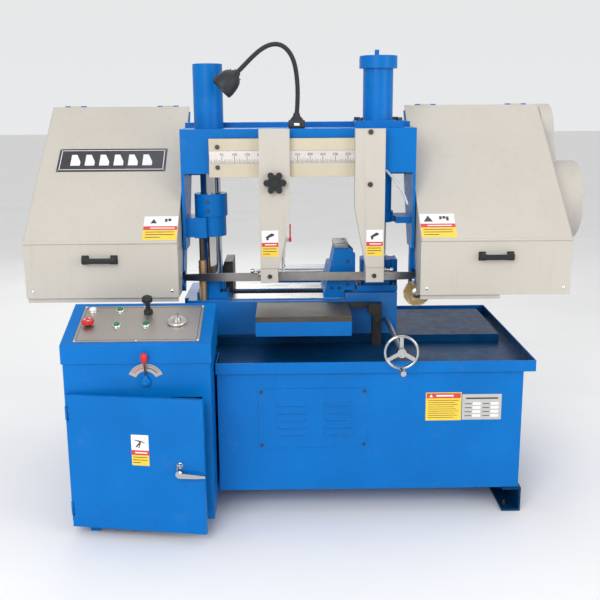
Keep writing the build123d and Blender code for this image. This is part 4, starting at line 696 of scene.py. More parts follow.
def build_guard_pieces():
    name_plate()
    bow_handle("left_pull_handle", "left_cover", -834, -722, 959)
    bow_handle("right_pull_handle", "right_cover", 720, 832, 961)
    guard_trim("left_ridge_hem", "left_cover", -1076, -474)
    guard_trim("right_ridge_hem", "right_cover", 480, 1076)
    sticker("left_cover_sticker", "left_cover", slope_face(-611, 4), 136, 124, 0.42,
            [(0.28, [scaled(TRIANGLE, 0.8)]), (0.74, BLOCKS[:2])])
    sticker("right_cover_sticker", "right_cover", slope_face(483, 6), 138, 124, 0.42,
            [(0.24, [scaled(TRIANGLE, 1.1)]), (0.7, BLOCKS)])


# ---------------------------------------------------------------- pieces: band and brush
BAND_Y, BAND_Z, BAND_WIDTH, BAND_THICK = 410.0, 854.0, 34.0, 1.1
WHEEL_TILT = math.radians(62.0)
WHEEL_RADIUS, WHEEL_X = 240.0, 728.0
TWIST_LEFT, TWIST_RIGHT, TWIST_END = -285.0, 352.0, 668.0
TOOTH_PITCH, TOOTH_DEPTH = 8.0, 3.2


def wheel_plane(up, out):
    """Machine (y, z) of a point up the wheel plane and out along the axle."""
    sin_t, cos_t = math.sin(WHEEL_TILT), math.cos(WHEEL_TILT)
    return BAND_Y + up * cos_t - out * sin_t, BAND_Z + up * sin_t + out * cos_t


def band_frames():
    """Centre, width direction and outward thickness direction around the whole band."""
    sin_t, cos_t = math.sin(WHEEL_TILT), math.cos(WHEEL_TILT)
    wide_flat = Vector((0, -sin_t, cos_t))
    up_flat = Vector((0, cos_t, sin_t))
    frames = []
    steps = 60
    lower = []
    for i in range(steps + 1):
        x = -WHEEL_X + 2 * WHEEL_X * i / steps
        if x < TWIST_LEFT:
            part = min(1.0, (TWIST_LEFT - x) / (TWIST_END + TWIST_LEFT))
        elif x > TWIST_RIGHT:
            part = min(1.0, (x - TWIST_RIGHT) / (TWIST_END - TWIST_RIGHT))
        else:
            part = 0.0
        turn = part * WHEEL_TILT
        wide = Vector((0, -math.sin(turn), math.cos(turn)))
        thick = Vector((0, -math.cos(turn), -math.sin(turn)))
        lower.append((at(x, BAND_Y, BAND_Z), wide, thick))
    frames += lower
    radius = WHEEL_RADIUS + BAND_THICK / 2
    for side in (1, -1):
        for i in range(1, 30):
            angle = math.pi * i / 30
            x = side * (WHEEL_X + radius * math.sin(angle))
            up = radius - side * radius * math.cos(angle)
            y, z = wheel_plane(up, 0)
            out = Vector((side * math.sin(angle), 0, 0)) - up_flat * math.cos(angle) * side
            frames.append((at(x, y, z), wide_flat, out.normalized()))
        if side == 1:
            y, z = wheel_plane(2 * radius, 0)
            for i in range(21):
                frames.append((at(WHEEL_X - 2 * WHEEL_X * i / 20, y, z), wide_flat, up_flat))
    return frames


def band_blade():
    """Endless band with ground back edge and raked teeth all round."""
    frames = band_frames()
    centres = [f[0] for f in frames] + [frames[0][0]]
    lengths = [0.0]
    for a, b in zip(centres, centres[1:]):
        lengths.append(lengths[-1] + (b - a).length)
    total = lengths[-1]
    count = round(total / (TOOTH_PITCH * MM))
    pitch = total / count
    frames = frames + [frames[0]]
    bm = bmesh.new()
    rows, span = [], 0

    def frame_at(distance):
        nonlocal span
        while span < len(lengths) - 2 and lengths[span + 1] < distance:
            span += 1
        part = (distance - lengths[span]) / (lengths[span + 1] - lengths[span])
        a, b = frames[span], frames[span + 1]
        wide = a[1].lerp(b[1], part).normalized()
        thick = a[2].lerp(b[2], part).normalized()
        return a[0].lerp(b[0], part), wide, thick

    half, thin = BAND_WIDTH / 2 * MM, BAND_THICK / 2 * MM
    for tooth in range(count):
        for part, depth in ((0.0, -TOOTH_DEPTH * 0.72), (0.12, 0.0), (0.62, -TOOTH_DEPTH * 0.35)):
            centre, wide, thick = frame_at((tooth + part) * pitch)
            edge = -half - (TOOTH_DEPTH * 0.72 + depth) * MM
            row = []
            for across, out in ((half, -1), (half, 1), (edge, 1), (edge, -1)):
                row.append(bm.verts.new(centre + wide * across + thick * thin * out))
            rows.append(row)
    for a, b in zip(rows, rows[1:] + rows[:1]):
        for i in range(4):
            j = (i + 1) % 4
            bm.faces.new((a[i], a[j], b[j], b[i]))
    return finish_piece("band_with_teeth", bm, "head", "band_steel", ("band_blade",), 20)


def wire_brush():
    """Wire wheel: clamped flanges, hub, shaft and four rows of bent bristles."""
    low, high = node_box("wire_brush")
    place = front_face((low.x + high.x) / 2, 412, (low.z + high.z) / 2)
    bm = bmesh.new()
    for side in (-1, 1):
        turn = place @ Matrix.Rotation(math.pi if side < 0 else 0.0, 4, "X")
        add_turned(bm, [(0, 12), (9, 12), (11, 8), (22, 5), (25, 2),
                        (25, 0)], turn, 32, 0)
    add_turned(bm, [(0, 20), (5, 19.5), (6, 18), (6, -74), (0, -74)], place, 20, 0)
    finish_piece("brush_hub_and_shaft", bm, "brush", "bright_steel", ("wire_brush",))
    bm = bmesh.new()
    for row in range(5):
        depth = -8 + row * 4
        for step in range(120):
            angle = 2 * math.pi * (step + RNG.random()) / 120
            reach = 54 + RNG.random() * 2.0
            bend = RNG.uniform(-0.10, 0.10)
            root = Vector((math.cos(angle), math.sin(angle), 0)) * 22 + Vector((0, 0, depth * 0.7))
            knee = Vector((math.cos(angle + bend * 0.3), math.sin(angle + bend * 0.3), 0)) * 40
            knee.z = depth
            tip = Vector((math.cos(angle + bend), math.sin(angle + bend), 0)) * reach
            tip.z = depth + RNG.uniform(-2.5, 2.5)
            add_tube(bm, [place @ root, place @ knee, place @ tip], 0.7, 4)
    return finish_piece("brush_bristles", bm, "brush", "brass_wire")


# ---------------------------------------------------------------- pieces: lamp
NECK_ROUTE = [(-3, 440, 1500), (4, 438, 1580), (0, 435, 1660), (-14, 431, 1728), (-52, 425, 1776),
              (-104, 418, 1780), (-160, 411, 1746), (-205, 404, 1698), (-232, 400, 1672)]


def lamp():
    """Magnetic foot with a switch, ribbed neck, flared head with reflector and bulb."""
    bm = bmesh.new()
    add_block(bm, (-36, 412, 1453), (30, 468, 1486), 5, 0, MACHINE, 4)
    foot_top = upright(-3, 440, 1486)
    add_turned(bm, [(26, -1), (24, 6), (17, 12), (13, 22), (12, 28),
                    (0, 28)], foot_top, 32, 0)
    add_block(bm, (-14, 408.5, 1464), (8, 413, 1474), 1.5, 1)
    finish_piece("lamp_foot", bm, "head", "lamp_shell", ("lamp_gooseneck",),
                 materials=[MATERIALS["lamp_shell"], PRINT_WHITE])
    line = resample(smooth_route([at(*p) for p in NECK_ROUTE]), 1.5)
    bm = bmesh.new()
    add_tube(bm, line, 9.0, 16, 0, lambda i: 1.0 + 0.10 * math.cos(2 * math.pi * i / 4))
    finish_piece("lamp_ribbed_neck", bm, "head", "lamp_neck", smooth=80)
    start, before = at(*NECK_ROUTE[-1]), at(*NECK_ROUTE[-2])
    out = (start - before).normalized()
    place = facing(start, out.orthogonal(), out.cross(out.orthogonal()))
    bm = bmesh.new()
    shell = [(0, -2), (12.5, -2), (14.5, 1), (17, 8), (20, 11), (28, 16), (37, 26), (43, 40), (47, 58),
             (48.4, 74),
             (48.6, 84), (47.8, 91), (46, 94.6), (44.2, 94), (43, 90), (39, 70), (26, 48), (0, 44)]
    add_turned(bm, shell, place, 64, 0)
    slot = Matrix.Rotation(0.75, 4, "Y") @ Matrix.Translation((8, 0, 29))
    for spin in around(place, 10, 0.5):
        add_block(bm, (-6, -1.4, -1), (6, 1.4, 0.6), 0.5, 0, spin @ slot)
    finish_piece("lamp_shade", bm, "head", "lamp_shell", ("lamp_head",))
    bm = bmesh.new()
    dish = [(42.6, 89.5), (38.6, 70), (25.6, 49), (0, 45), (0, 46), (25, 50), (38, 71), (42, 89.5)]
    add_turned(bm, dish, place, 64, 0, True)
    finish_piece("lamp_reflector", bm, "head", "chrome")
    bm = bmesh.new()
    bulb = [(0, 46.5), (9, 47), (12, 54), (14, 64), (12, 72), (7, 77), (0, 79)]
    add_turned(bm, bulb, place, 32, 0)
    finish_piece("lamp_bulb", bm, "head", "valve_body",
                 materials=[glass("bulb_glass", (1.0, 0.94, 0.82), glow=0.8, transmission=0.3)])


# ---------------------------------------------------------------- pieces: console
LID_ANGLE = math.atan((812.0 - 724.0) / 272.0)
LID_FRONT = (-152.0, 724.0)
PANEL_THICK = 3.0


def panel_face(x, along, lift=0.0):
    """Frame on the console's sloping panel."""
    up = Vector((0, math.cos(LID_ANGLE), math.sin(LID_ANGLE)))
    out = Vector((0, -math.sin(LID_ANGLE), math.cos(LID_ANGLE)))
    start = at(x, *LID_FRONT) + (up * along + out * lift) * MM
    return facing(start, (1, 0, 0), up)


def panel_pieces():
    """Border, corner screws, dial scale, tick marks and button bezels."""
    x0, x1, y0, y1 = -808.0, -360.0, 20.0, 262.0
    face = panel_face((x0 + x1) / 2, (y0 + y1) / 2, PANEL_THICK)
    half_x, half_y = (x1 - x0) / 2, (y1 - y0) / 2
    bm = bmesh.new()
    add_border(bm, half_x, half_y, 9, 1.8, 0.2, face)
    dial = panel_face(-451, 146, PANEL_THICK)
    for step in range(13):
        angle = math.radians(-50 + step * 280 / 12)
        spin = dial @ Matrix.Rotation(angle, 4, "Z")
        add_plate(bm, rectangle(41, 47 if step % 2 else 50, -0.8, 0.8), 0.2, spin, 0)
    add_arc(bm, 40, 47, 62, 120, 16, 0.25, dial, 1)
    for x, along in ((-671, 200), (-668, 95), (-564, 97), (-564, 170)):
        mark = panel_face(x, along, PANEL_THICK)
        add_plate(bm, rectangle(-5, 5, -0.8, 0.8), 0.2, mark, 0)
        add_plate(bm, rectangle(-0.8, 0.8, -3.5, 3.5), 0.24, mark, 0)
    finish_piece("panel_print", bm, "root", "black_plastic", materials=[PRINT_BLACK, PRINT_RED])
    bm = bmesh.new()
    for sx in (-1, 0, 1):
        for sy in (-1, 1):
            spot = face @ Matrix.Translation((sx * (half_x - 5), sy * (half_y - 5), 0))
            add_turned(bm, [(4.2, 0), (3.8, 1.4), (0, 2.2)], spot, 20, 0)
            add_block(bm, (-3, -0.5, 1.3), (3, 0.5, 2.4), 0, 0, spot)
    for x, along, radius in ((-671, 229, 17), (-668, 124, 17), (-564, 126, 17), (-773, 227, 18)):
        spot = panel_face(x, along, PANEL_THICK)
        profile = [(radius, 0), (radius, 4), (radius - 1.5, 6.4), (radius - 3.0, 7.2), (11.2, 7.0),
                   (11.2, 0)]
        add_turned(bm, profile, spot, 40, 0)
    finish_piece("panel_screws_and_bezels", bm, "root", "chrome", materials=[BEZEL])


def add_button_cap(name, body, x, along, material, slot):
    """Domed cap with a shallow thumb dish over a push button."""
    bm = bmesh.new()
    profile = [(0, 13.2), (4, 13.3), (8, 13.8), (9.6, 13.6), (10.3, 12.6), (10.4, 9)]
    add_turned(bm, profile, panel_face(x, along), 36, 0)
    finish_piece(name, bm, body, slot, materials=[material])


def estop_head():
    """Ribbed red mushroom with a paler arrow ring on top."""
    bm = bmesh.new()
    place = panel_face(-773, 130)
    count = 40
    profile = [(15, 11), (20, 13), (22, 17), (22, 22), (20.5, 25.5), (16, 27.5), (8, 28.6), (0, 28.8)]
    add_turned(bm, profile, place, count, 0)
    for spin in around(place, 20):
        add_block(bm, (21.4, -1.2, 14.5), (22.7, 1.2, 23.5), 0.5, 0, spin)
    for start in (20, 140, 260):
        add_arc(bm, 9, 12, start, start + 70, 8, 0.4, place @ Matrix.Translation((0, 0, 28)), 1)
    finish_piece("estop_mushroom", bm, "estop", "red_plastic", ("estop_button",),
                 materials=[MATERIALS["red_plastic"], PRINT_WHITE])


def selector():
    """Black selector: waisted stem and a hand-sized head with flats."""
    bm = bmesh.new()
    place = panel_face(-565, 214, PANEL_THICK)
    profile = [(17, 0), (17, 9), (14, 12), (9.5, 15), (9, 40), (12, 46), (18, 49), (19, 56), (18.4, 64),
               (15, 68.5),
               (9, 70), (0, 70.2)]
    add_turned(bm, profile, place, 40, 0)
    for spin in around(place, 9):
        add_block(bm, (17.4, -2.6, 50), (20, 2.6, 65), 1.1, 0, spin)
    finish_piece("selector_grip", bm, "selector", "black_plastic", ("selector_knob",))


def speed_dial():
    """Turned dial: knurled skirt, dished face, raised grip bar and a pointer line."""
    bm = bmesh.new()
    place = panel_face(-451, 146, PANEL_THICK)
    profile = [(35, 1.2), (35.5, 2), (35, 7), (33, 9.4), (30, 9.8), (24, 8.2), (16, 8.2), (14.5, 9.5),
               (14, 18),
               (12, 20.5), (0, 21)]
    add_turned(bm, profile, place, 72, 0)
    for spin in around(place, 60):
        add_block(bm, (34.2, -0.9, 1.6), (36.2, 0.9, 7.6), 0, 0, spin)
    add_block(bm, (-4.5, -24, 8), (4.5, 26, 24), 2.4, 0, place, 3)
    add_block(bm, (-0.8, 10, 23.8), (0.8, 25, 24.3), 0, 1, place)
    finish_piece("dial_turned", bm, "dial", "dial_metal", ("speed_dial",),
                 materials=[MATERIALS["dial_metal"], PRINT_BLACK])


def feed_lever():
    """Blue cast arm on its hub, black rod and a long red ball grip."""
    x, y, z = -552.0, -146.0, 588.0
    hub = facing(at(x, y, z), (1, 0, 0), (0, 0, 1))
    bm = bmesh.new()
    profile = [(9, -18), (9, 0), (17, 0.6), (17, 12), (15, 15), (8, 16.5), (8, 22), (0, 23)]
    add_turned(bm, profile, hub, 40, 0)
    add_block(bm, (-8, -4, 5), (8, 26, 14), 3, 0, hub, 3)
    finish_piece("lever_hub", bm, "lever", "blue_paint", ("feed_lever",))
    bm = bmesh.new()
    route = [(0, 16, 9), (0, 40, 14), (0, 62, 24), (0, 80, 27)]
    line = smooth_route([hub @ Vector(p) for p in route])
    add_tube(bm, line, 3.6, 14)
    finish_piece("lever_rod", bm, "lever", "lever_metal")
    bm = bmesh.new()
    grip = hub @ Matrix.Translation((0, 74, 27)) @ Matrix.Rotation(-math.pi / 2, 4, "X")
    profile = [(0, 0), (7, 0), (9, 2), (11.5, 12), (13, 24), (12.4, 31), (9, 36), (4, 38), (0, 38.4)]
    add_turned(bm, profile, grip, 36, 0)
    finish_piece("lever_grip", bm, "lever", "red_plastic")


def build_console():
    panel_pieces()
    for name, x, along in (("green_button_top", -671, 229), ("green_button_left", -668, 124),
                           ("green_button_right", -564, 126)):
        add_button_cap(name + "_cap", name, x, along, MATERIALS["green_plastic"], "green_plastic")
    estop_head()
    selector()
    speed_dial()
    feed_lever()
    lens = plastic("pilot_lens", (0.86, 0.86, 0.88), rough=0.18, coat=0.6)
    bm = bmesh.new()
    profile = [(13.5, 6), (13.2, 10), (11, 13.5), (6.5, 16), (0, 17)]
    add_turned(bm, profile, panel_face(-773, 227, PANEL_THICK), 36, 0)
    finish_piece("pilot_lens", bm, "root", "valve_body", materials=[lens])


# ---------------------------------------------------------------- plates and stickers
def base_plates():
    bm = bmesh.new()
    place = front_face(473, 0, 374)
    add_plate(bm, rectangle(0, 135, 0, 111), 0.6, place, 1)
    lift = place @ Matrix.Translation((0, 0, 0.6))
    add_plate(bm, rectangle(3, 132, 88, 108), 0.2, lift, 0)
    add_plate(bm, rectangle(40, 105, 95, 101), 0.1, lift @ Matrix.Translation((0, 0, 0.2)), 3)
    add_plate(bm, scaled(TRIANGLE, 7), 0.1, lift @ Matrix.Translation((20, 98, 0.2)), 3)
    for row in range(9):
        end = 126 - (row * 37) % 23
        y = 78 - row * 8.4
        add_plate(bm, rectangle(9, end, y, y + 2), 0.15, lift, 2)
    finish_piece("caution_plate", bm, "root", "white_scale",
                 materials=[PRINT_RED, PRINT_YELLOW, PRINT_BLACK, PRINT_WHITE])
    bm = bmesh.new()
    place = front_face(611, 0, 376)
    add_plate(bm, rectangle(0, 149, 0, 101), 1.2, place, 0)
    lift = place @ Matrix.Translation((0, 0, 1.2))
    add_plate(bm, rectangle(14, 135, 82, 88), 0.15, lift, 1)
    for row in range(4):
        y = 60 - row * 16
        for col in range(2):
            x = 10 + col * 68
            add_plate(bm, rectangle(x, x + 26, y + 2, y + 5), 0.12, lift, 1)
            add_plate(bm, rectangle(x + 30, x + 60, y - 1, y + 9), 0.12, lift, 2)
    for x in (5, 144):
        for y in (5, 96):
            spot = lift @ Matrix.Translation((x, y, 0))
            add_turned(bm, [(2.2, 0), (1.8, 1.0), (0, 1.3)], spot, 14, 3)
    finish_piece("rating_plate", bm, "root", "panel_aluminium",
                 materials=[PRINT_GREY, PRINT_BLACK, PRINT_WHITE, BEZEL])


def door_face(x, z):
    """Frame on the ajar door's outer face: x and z as on the closed door."""
    hinge = at(-839, -158, 0)
    turn = Matrix.Rotation(math.radians(-9.0), 4, "Z")
    swing = Matrix.Translation(hinge) @ turn @ Matrix.Translation(-hinge)
    return swing @ front_face(x, -167, z)


def build_stickers():
    base_plates()
    sticker("left_arm_sticker", "left_arm", front_face(-147, 336, 950), 66, 106, 0.46,
            [(0.5, [WEDGE, scaled(DROP, 0.9)])])
    sticker("right_arm_sticker", "head", front_face(272, 336, 950), 66, 106, 0.46,
            [(0.5, [WEDGE, scaled(DROP, 0.9)])])
    limbs = [
        [(-0.25, -0.1), (0.15, 0.35), (0.35, 0.25), (0.0, -0.3)],
        [(0.0, 0.1), (-0.9, 0.35), (-0.95, 0.5), (0.1, 0.35)],
        [(0.2, 0.35), (0.9, 0.05), (0.8, -0.1), (0.1, 0.2)],
        [(-0.2, -0.1), (-0.8, -0.75), (-0.65, -0.9), (0.0, -0.3)],
        [(0.0, -0.25), (-0.35, -0.95), (-0.15, -1.0), (0.2, -0.15)],
    ]
    sticker("door_sticker", "door", door_face(-601, 294), 64, 116, 0.5, [(0.5, limbs)])


# ---------------------------------------------------------------- pieces: guide arms, rail and nozzle
def arm_screws():
    """Black cap screws on the guide blocks and arms, and the bright adjusting screws."""
    for name, body, screws, adjusters in (
        ("left_arm_screws", "left_arm", [(-116, 340, 868, 9)], [(-153, -1)]),
        ("right_arm_screws", "head", [(305, 340, 868, 9)], [(344, 1)]),
    ):
        bm = bmesh.new()
        for x, y, z, radius in screws:
            add_screw(bm, front_face(x, y, z), radius)
        finish_piece(name, bm, body, "bolt_steel")
        bm = bmesh.new()
        for block_edge, side in adjusters:
            place = facing(at(block_edge, 372, 886), (0, side, 0), (0, 0, 1))
            profile = [(5, 0), (5, 26), (4, 27), (4, 29), (9, 29), (9.5, 31), (9.5, 40), (8.5, 41.5),
                       (0, 41.5)]
            add_turned(bm, profile, place, 24, 0)
            lock = place @ Matrix.Translation((0, 0, 4))
            add_turned(bm, [(9, 0), (9, 7), (8, 8), (5, 8)], lock, 6, 0)
            low = place @ Matrix.Translation((-2, -16, 0))
            add_turned(bm, [(6, 0), (6, 9), (5, 10), (0, 10)], low, 6, 0)
        finish_piece(name.replace("screws", "adjusters"), bm, body, "bright_steel")


def jaw_pieces():
    """Cast cap on the jaw, its screws, and the face plates' countersunk screws."""
    bm = bmesh.new()
    add_block(bm, (148, 463, 960), (210, 622, 981), 3.5, 0, MACHINE, 3)
    for y in (500, 586):
        add_screw(bm, upright(192, y, 981), 6.5)
    finish_piece("jaw_cap", bm, "jaw", "pulley_iron")
    bm = bmesh.new()
    for x, z in ((140, 792), (172, 792), (206, 806), (206, 905)):
        add_screw(bm, front_face(x, 466, z), 6.5)
    finish_piece("jaw_screws", bm, "jaw", "bolt_steel")
    bm = bmesh.new()
    for y in (640, 692, 744):
        for z in (790, 850):
            place = facing(at(-282, y, z), (0, -1, 0), (0, 0, 1))
            add_turned(bm, [(8, 0), (7.5, 0.6), (4, 0.6), (4, 0.2), (0, 0.2)],
                       place @ Matrix.Rotation(math.pi, 4, "Y"), 24)
    finish_piece("fixed_jaw_screws", bm, "root", "bolt_steel")


def lever_scale():
    """Two-coloured arc and end marks printed on the feed lever's plate."""
    place = front_face(-552, -148.0, 588)
    bm = bmesh.new()
    for start, end, inner, outer, index in ((92, 142, 49, 52.5, 1), (38, 88, 49, 52.5, 0),
                                            (36, 144, 60, 61.2, 0)):
        add_arc(bm, inner, outer, start, end, 14, 0.2, place, index)
    for angle in range(40, 141, 10):
        spin = place @ Matrix.Rotation(math.radians(angle), 4, "Z")
        add_plate(bm, rectangle(54, 58.5, -0.5, 0.5), 0.2, spin, 0)
    finish_piece("lever_scale_print", bm, "root", "black_plastic", materials=[PRINT_BLACK, PRINT_RED])


def door_lock():
    """Lock barrel above the handle, with a key in it."""
    place = door_face(-425, 301)
    bm = bmesh.new()
    add_turned(bm, [(12, 0), (12, 2), (10, 3), (9, 9), (8, 10), (0, 10)], place, 32)
    add_block(bm, (-0.8, -4, 9), (0.8, 4, 20), 0, 0, place)
    key = facing(place @ Vector((0, 0, 26)), place.to_3x3().col[2], place.to_3x3().col[1])
    bow = [(11 * math.cos(a), 9 * math.sin(a)) for a in (2 * math.pi * k / 20 for k in range(20))]
    add_plate(bm, bow, 1.6, key @ Matrix.Translation((0, 0, -0.8)))
    finish_piece("door_lock_and_key", bm, "door", "chrome")


def hoses_and_fittings():
    """Coolant pipe over the valve, hose to the blade guide and the hex fittings."""
    bm = bmesh.new()
    route = [(-62, 393.5, 1086), (-59, 392, 1112), (-50, 391, 1146), (-49, 396, 1186), (-58, 404, 1214)]
    line = resample(smooth_route([at(*p) for p in route]), 1.5)
    add_tube(bm, line, 6.0, 14, 0, lambda i: 1.0 + 0.12 * math.cos(2 * math.pi * i / 3))
    finish_piece("coolant_hose", bm, "left_arm", "valve_body", smooth=80,
                 materials=[plastic("hose_grey", (0.30, 0.30, 0.31), rough=0.5)])
    bm = bmesh.new()
    for z, radius, height in ((1078, 9, 11), (1060, 8, 8), (900, 7.5, 9)):
        turn = upright(-62, 393.5, z)
        profile = [(0, 0), (radius - 1, 0), (radius, 1), (radius, height - 1), (radius - 1, height),
                   (0, height)]
        add_turned(bm, profile, turn, 6)
    finish_piece("coolant_fittings", bm, "left_arm", "chrome", smooth=20, materials=[BEZEL])
    bm = bmesh.new()
    route = [(352, 392, 1288), (372, 392, 1268), (410, 392, 1222), (432, 392, 1180), (441, 392, 1150)]
    line = smooth_route([at(*p) for p in route])
    add_tube(bm, line, 5.0, 14)
    finish_piece("clear_hose", bm, "head", "valve_body",
                 materials=[glass("clear_hose_skin", (0.86, 0.90, 0.94), transmission=0.55, rough=0.2)])


def ruler_numbers():
    """Plain scale numbers every 50 mm along the rail."""
    bm = bmesh.new()
    for step in range(1, 13):
        data = bpy.data.curves.new("number", "FONT")
        data.body = str(step * 50)
        data.size = 14.5
        data.align_x = "CENTER"
        thing = bpy.data.objects.new("number", data)
        mesh = bpy.data.meshes.new_from_object(thing)
        place = front_face(-351 + step * 50, 376.65, 1349)
        outline = bmesh.new()
        outline.from_mesh(mesh)
        faces = bmesh.ops.extrude_face_region(outline, geom=outline.faces[:])
        verts = [v for v in faces["geom"] if isinstance(v, bmesh.types.BMVert)]
        bmesh.ops.translate(outline, verts=verts, vec=(0, 0, 0.2))
        bmesh.ops.transform(outline, matrix=place, verts=outline.verts)
        outline.to_mesh(mesh)
        outline.free()
        bm.from_mesh(mesh)
        bpy.data.objects.remove(thing)
        bpy.data.curves.remove(data)
        bpy.data.meshes.remove(mesh)
    finish_piece("ruler_numbers", bm, "head", "black_plastic", materials=[PRINT_BLACK])


def cover_hardware():
    """Round-head screws and a rolled edge bead on both wheel covers."""
    for name, body, left, right in (("left", "left_cover", -1074, -474),
                                    ("right", "right_cover", 480, 1074)):
        length = math.hypot(SLOPE_RUN, SLOPE_RISE)
        bm = bmesh.new()
        for x in (left + 2, right - 2):
            up = Vector((0, SLOPE_RUN / length, SLOPE_RISE / length))
            start = at(x, GUARD_FRONT_Y + 2, RIDGE_Z + 1)
            add_tube(bm, [start + up * d * MM for d in (0, 200, 400, 600, length - 8)], 1.9, 10)
        finish_piece(name + "_cover_edge_bead", bm, body, "grey_paint")
        bm = bmesh.new()
        for x in (left + 26, right - 26):
            place = front_face(x, GUARD_FRONT_Y, 832)
            add_turned(bm, [(6, 0), (5.6, 1.6), (3, 3.0), (0, 3.3)], place, 24)
            add_block(bm, (-4, -0.6, 2.4), (4, 0.6, 3.5), 0, 0, place)
        finish_piece(name + "_cover_screws", bm, body, "bright_steel", materials=[BEZEL])


def drive_details():
    """Lid and cable gland of the motor's terminal box, and the gearbox plugs."""
    back, top = node_box("drive_motor")[1].yz
    axis_z, face_y = top - 98, back + 5
    left, right = 816, 904
    bm = bmesh.new()
    add_block(bm, (left, back - 14, axis_z - 44), (right, face_y, axis_z + 44), 3, 0, MACHINE, 3)
    for x in (left + 9, right - 9):
        for z in (axis_z - 35, axis_z + 35):
            add_screw(bm, facing(at(x, face_y, z), (-1, 0, 0), (0, 0, 1)), 4)
    down = facing(at((left + right) / 2, back - 24, axis_z - 38), (1, 0, 0), (0, -1, 0))
    add_turned(bm, [(0, 0), (13, 0), (13, 12), (12, 14), (0, 14)], down, 6)
    add_turned(bm, [(0, 13), (9, 13), (8, 22), (0, 22)], down, 24)
    finish_piece("motor_terminal_box", bm, "head", "motor_paint")
    low, high = node_box("worm_gearbox")
    profile = [(13, 0), (13, 5), (12, 7), (8, 7), (8, 12), (7, 13), (0, 13)]
    bm = bmesh.new()
    for part in (0.3, 0.6):
        place = upright(low.x + (high.x - low.x) * part, (low.y + high.y) / 2 + 40, high.z - 6)
        add_turned(bm, profile, place, 6)
    finish_piece("gearbox_plugs", bm, "head", "bronze", smooth=20)


def console_wiring():
    """Mounting plate, ducts, rails, contactors and terminals inside the console."""
    bm = bmesh.new()
    add_block(bm, (-796, 100, 100), (-376, 103, 500), 1, 0)
    for z in (420, 250):
        add_block(bm, (-770, 92, z - 17), (-402, 100, z + 17), 1, 0)
    finish_piece("electrics_plate", bm, "root", "panel_aluminium")
    bm = bmesh.new()
    for z in (478, 335, 160):
        for i in range(40):
            x = -780 + i * 10
            add_block(bm, (x, 52, z - 16), (x + 6, 98, z + 16), 0, 0)
        add_block(bm, (-784, 48, z - 18), (-380, 53, z + 18), 1.5, 0)
    finish_piece("wiring_ducts", bm, "root", "panel_aluminium", materials=[PRINT_GREY])
    bm = bmesh.new()
    for i in range(5):
        x = -760 + i * 66
        add_block(bm, (x, 30, 385), (x + 52, 94, 455), 3, 0, MACHINE, 2)
        add_block(bm, (x + 8, 14, 398), (x + 44, 32, 442), 2, 0, MACHINE, 2)
        for k in range(3):
            for z in (391, 449):
                place = front_face(x + 12 + k * 14, 30, z)
                add_turned(bm, [(3.6, 0), (3.2, 1.2), (0, 1.2)], place, 14, 1)
    for i in range(22):
        x = -764 + i * 9
        add_block(bm, (x, 50, 228), (x + 8, 92, 272), 1, 2 if i % 5 else 3)
    finish_piece("contactors_and_terminals", bm, "root", "black_plastic",
                 materials=[MATERIALS["black_plastic"], BEZEL, PRINT_GREY, MATERIALS["green_plastic"]])


def back_panels():
    """Screwed access covers with finger lips and a drain plug on the back of the base."""
    back = node_box("base_cabinet")[1].y
    screws = bmesh.new()
    for number, (left, right) in enumerate(((-700, -260), (260, 700))):
        middle = (left + right) / 2
        bm = bmesh.new()
        add_block(bm, (left, back - 0.2, 190), (right, back + 2.5, 520), 1.2, 0, MACHINE, 3)
        add_block(bm, (middle - 45, back + 2, 500), (middle + 45, back + 16, 512), 2, 0, MACHINE, 3)
        for row in range(7):
            z = 250 + row * 26
            add_block(bm, (left + 70, back + 2, z), (right - 70, back + 8, z + 12), 2.8, 0, MACHINE, 3)
        finish_piece(f"back_cover_{number + 1}", bm, "root", "blue_paint")
        for x, z in ((left + 14, 204), (left + 14, 506), (middle, 204), (right - 14, 204),
                     (right - 14, 506)):
            add_screw(screws, facing(at(x, back + 2.5, z), (-1, 0, 0), (0, 0, 1)), 6)
    nut = [(0, 0), (14, 0), (14, 4), (10, 5), (10, 12), (9, 13), (0, 13)]
    add_turned(screws, nut, facing(at(-760, back, 140), (-1, 0, 0), (0, 0, 1)), 24)
    finish_piece("back_cover_screws", screws, "root", "bolt_steel")


def floor_hardware():
    """Hexagon anchor nuts on the channel feet."""
    low, high = node_box("channel_feet")
    bm = bmesh.new()
    for x in (low.x + 54, high.x - 54):
        for y in (low.y + 38, high.y - 38):
            place = upright(x, y, 5)
            for profile in ([(0, 0), (16, 0), (16, 2), (0, 2)],
                            [(0, 10), (6, 10), (6, 26), (5, 27), (0, 27)]):
                add_turned(bm, profile, place, 24)
            nut = [(0, 2), (9.5, 2), (10.5, 3), (10.5, 11), (9.5, 12), (0, 12)]
            add_turned(bm, nut, place, 6)
    finish_piece("anchor_nuts", bm, "root", "bolt_steel", smooth=20)


def main_scene():
    dress_cad_nodes()
    build_guard_pieces()
    jaw_pieces()
    lever_scale()
    door_lock()
    hoses_and_fittings()
    ruler_numbers()
    cover_hardware()
    drive_details()
    console_wiring()
    back_panels()
    floor_hardware()
    band_blade()
    wire_brush()
    lamp()
    build_console()
    build_stickers()
    arm_screws()


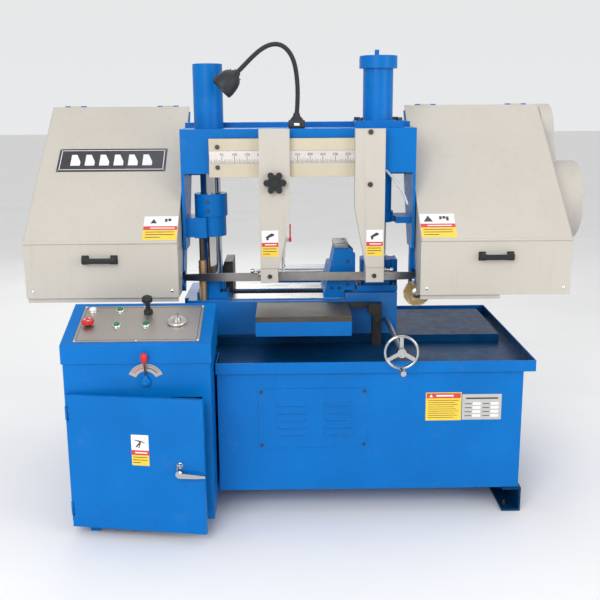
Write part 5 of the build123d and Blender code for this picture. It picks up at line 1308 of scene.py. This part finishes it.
# ---------------------------------------------------------------- stage
def build_stage():
    """Pale floor, a pale studio world and soft lights."""
    n = Nodes(bpy.data.materials.new("floor_pale"))
    tone = n.remap(n.noise(1.5, 3.0), 0.3, 0.7)
    n.feed(Base_Color=n.blend(tone, (0.86, 0.86, 0.86), (0.83, 0.83, 0.83)), Roughness=0.7)
    mesh = bpy.data.meshes.new("floor")
    size = 40.0
    corners = [(-size, -size, 0), (size, -size, 0), (size, size, 0), (-size, size, 0)]
    mesh.from_pydata(corners, [], [(0, 1, 2, 3)])
    mesh.materials.append(n.owner)
    floor = bpy.data.objects.new("floor", mesh)
    bpy.context.scene.collection.objects.link(floor)
    world = bpy.data.worlds.new("studio")
    sky = Nodes(world, "Background", "Generated")
    height = sky.remap(sky.axes()["Z"], -0.1, 0.75)
    sky.feed(Color=sky.blend(height, (0.93, 0.94, 0.95), (0.82, 0.82, 0.82)), Strength=0.88)
    bpy.context.scene.world = world
    bpy.context.scene.view_settings.view_transform = "Standard"
    middle = Vector((0, 0, 0.9))
    for name, place, size, power in (
        ("key", (-1.6, -5.0, 3.2), 3.0, 150.0),
        ("fill", (4.2, -3.6, 2.2), 3.0, 70.0),
        ("top", (0.3, 0.6, 5.0), 3.6, 30.0),
        ("back", (-1.0, 4.5, 3.2), 3.0, 45.0),
    ):
        light = bpy.data.lights.new(name, "AREA")
        light.shape = "DISK"
        light.size = size
        light.energy = power
        thing = bpy.data.objects.new(name, light)
        thing.location = place
        thing.rotation_euler = (middle - Vector(place)).to_track_quat("-Z", "Y").to_euler()
        bpy.context.scene.collection.objects.link(thing)


def build_camera():
    """Camera at standing eye height, about 3.2 m in front of the base."""
    pitch, yaw, roll = math.radians(12.8), math.radians(0.7), math.radians(0.37)
    data = bpy.data.cameras.new("camera")
    data.sensor_width = 36.0
    data.lens = 52.8
    data.dof.use_dof = False
    data.clip_end = 100.0
    camera = bpy.data.objects.new("camera", data)
    ahead = Vector((math.sin(yaw) * math.cos(pitch), math.cos(yaw) * math.cos(pitch), -math.sin(pitch)))
    right = Vector((math.cos(yaw), -math.sin(yaw), 0))
    up = right.cross(ahead)
    turn = Matrix((right, up, -ahead)).transposed() @ Matrix.Rotation(-roll, 3, "Z")
    camera.matrix_world = Matrix.Translation(at(-38, -3150, 1563)) @ turn.to_4x4()
    bpy.context.scene.collection.objects.link(camera)
    bpy.context.scene.camera = camera


build_stage()
build_camera()
main_scene()
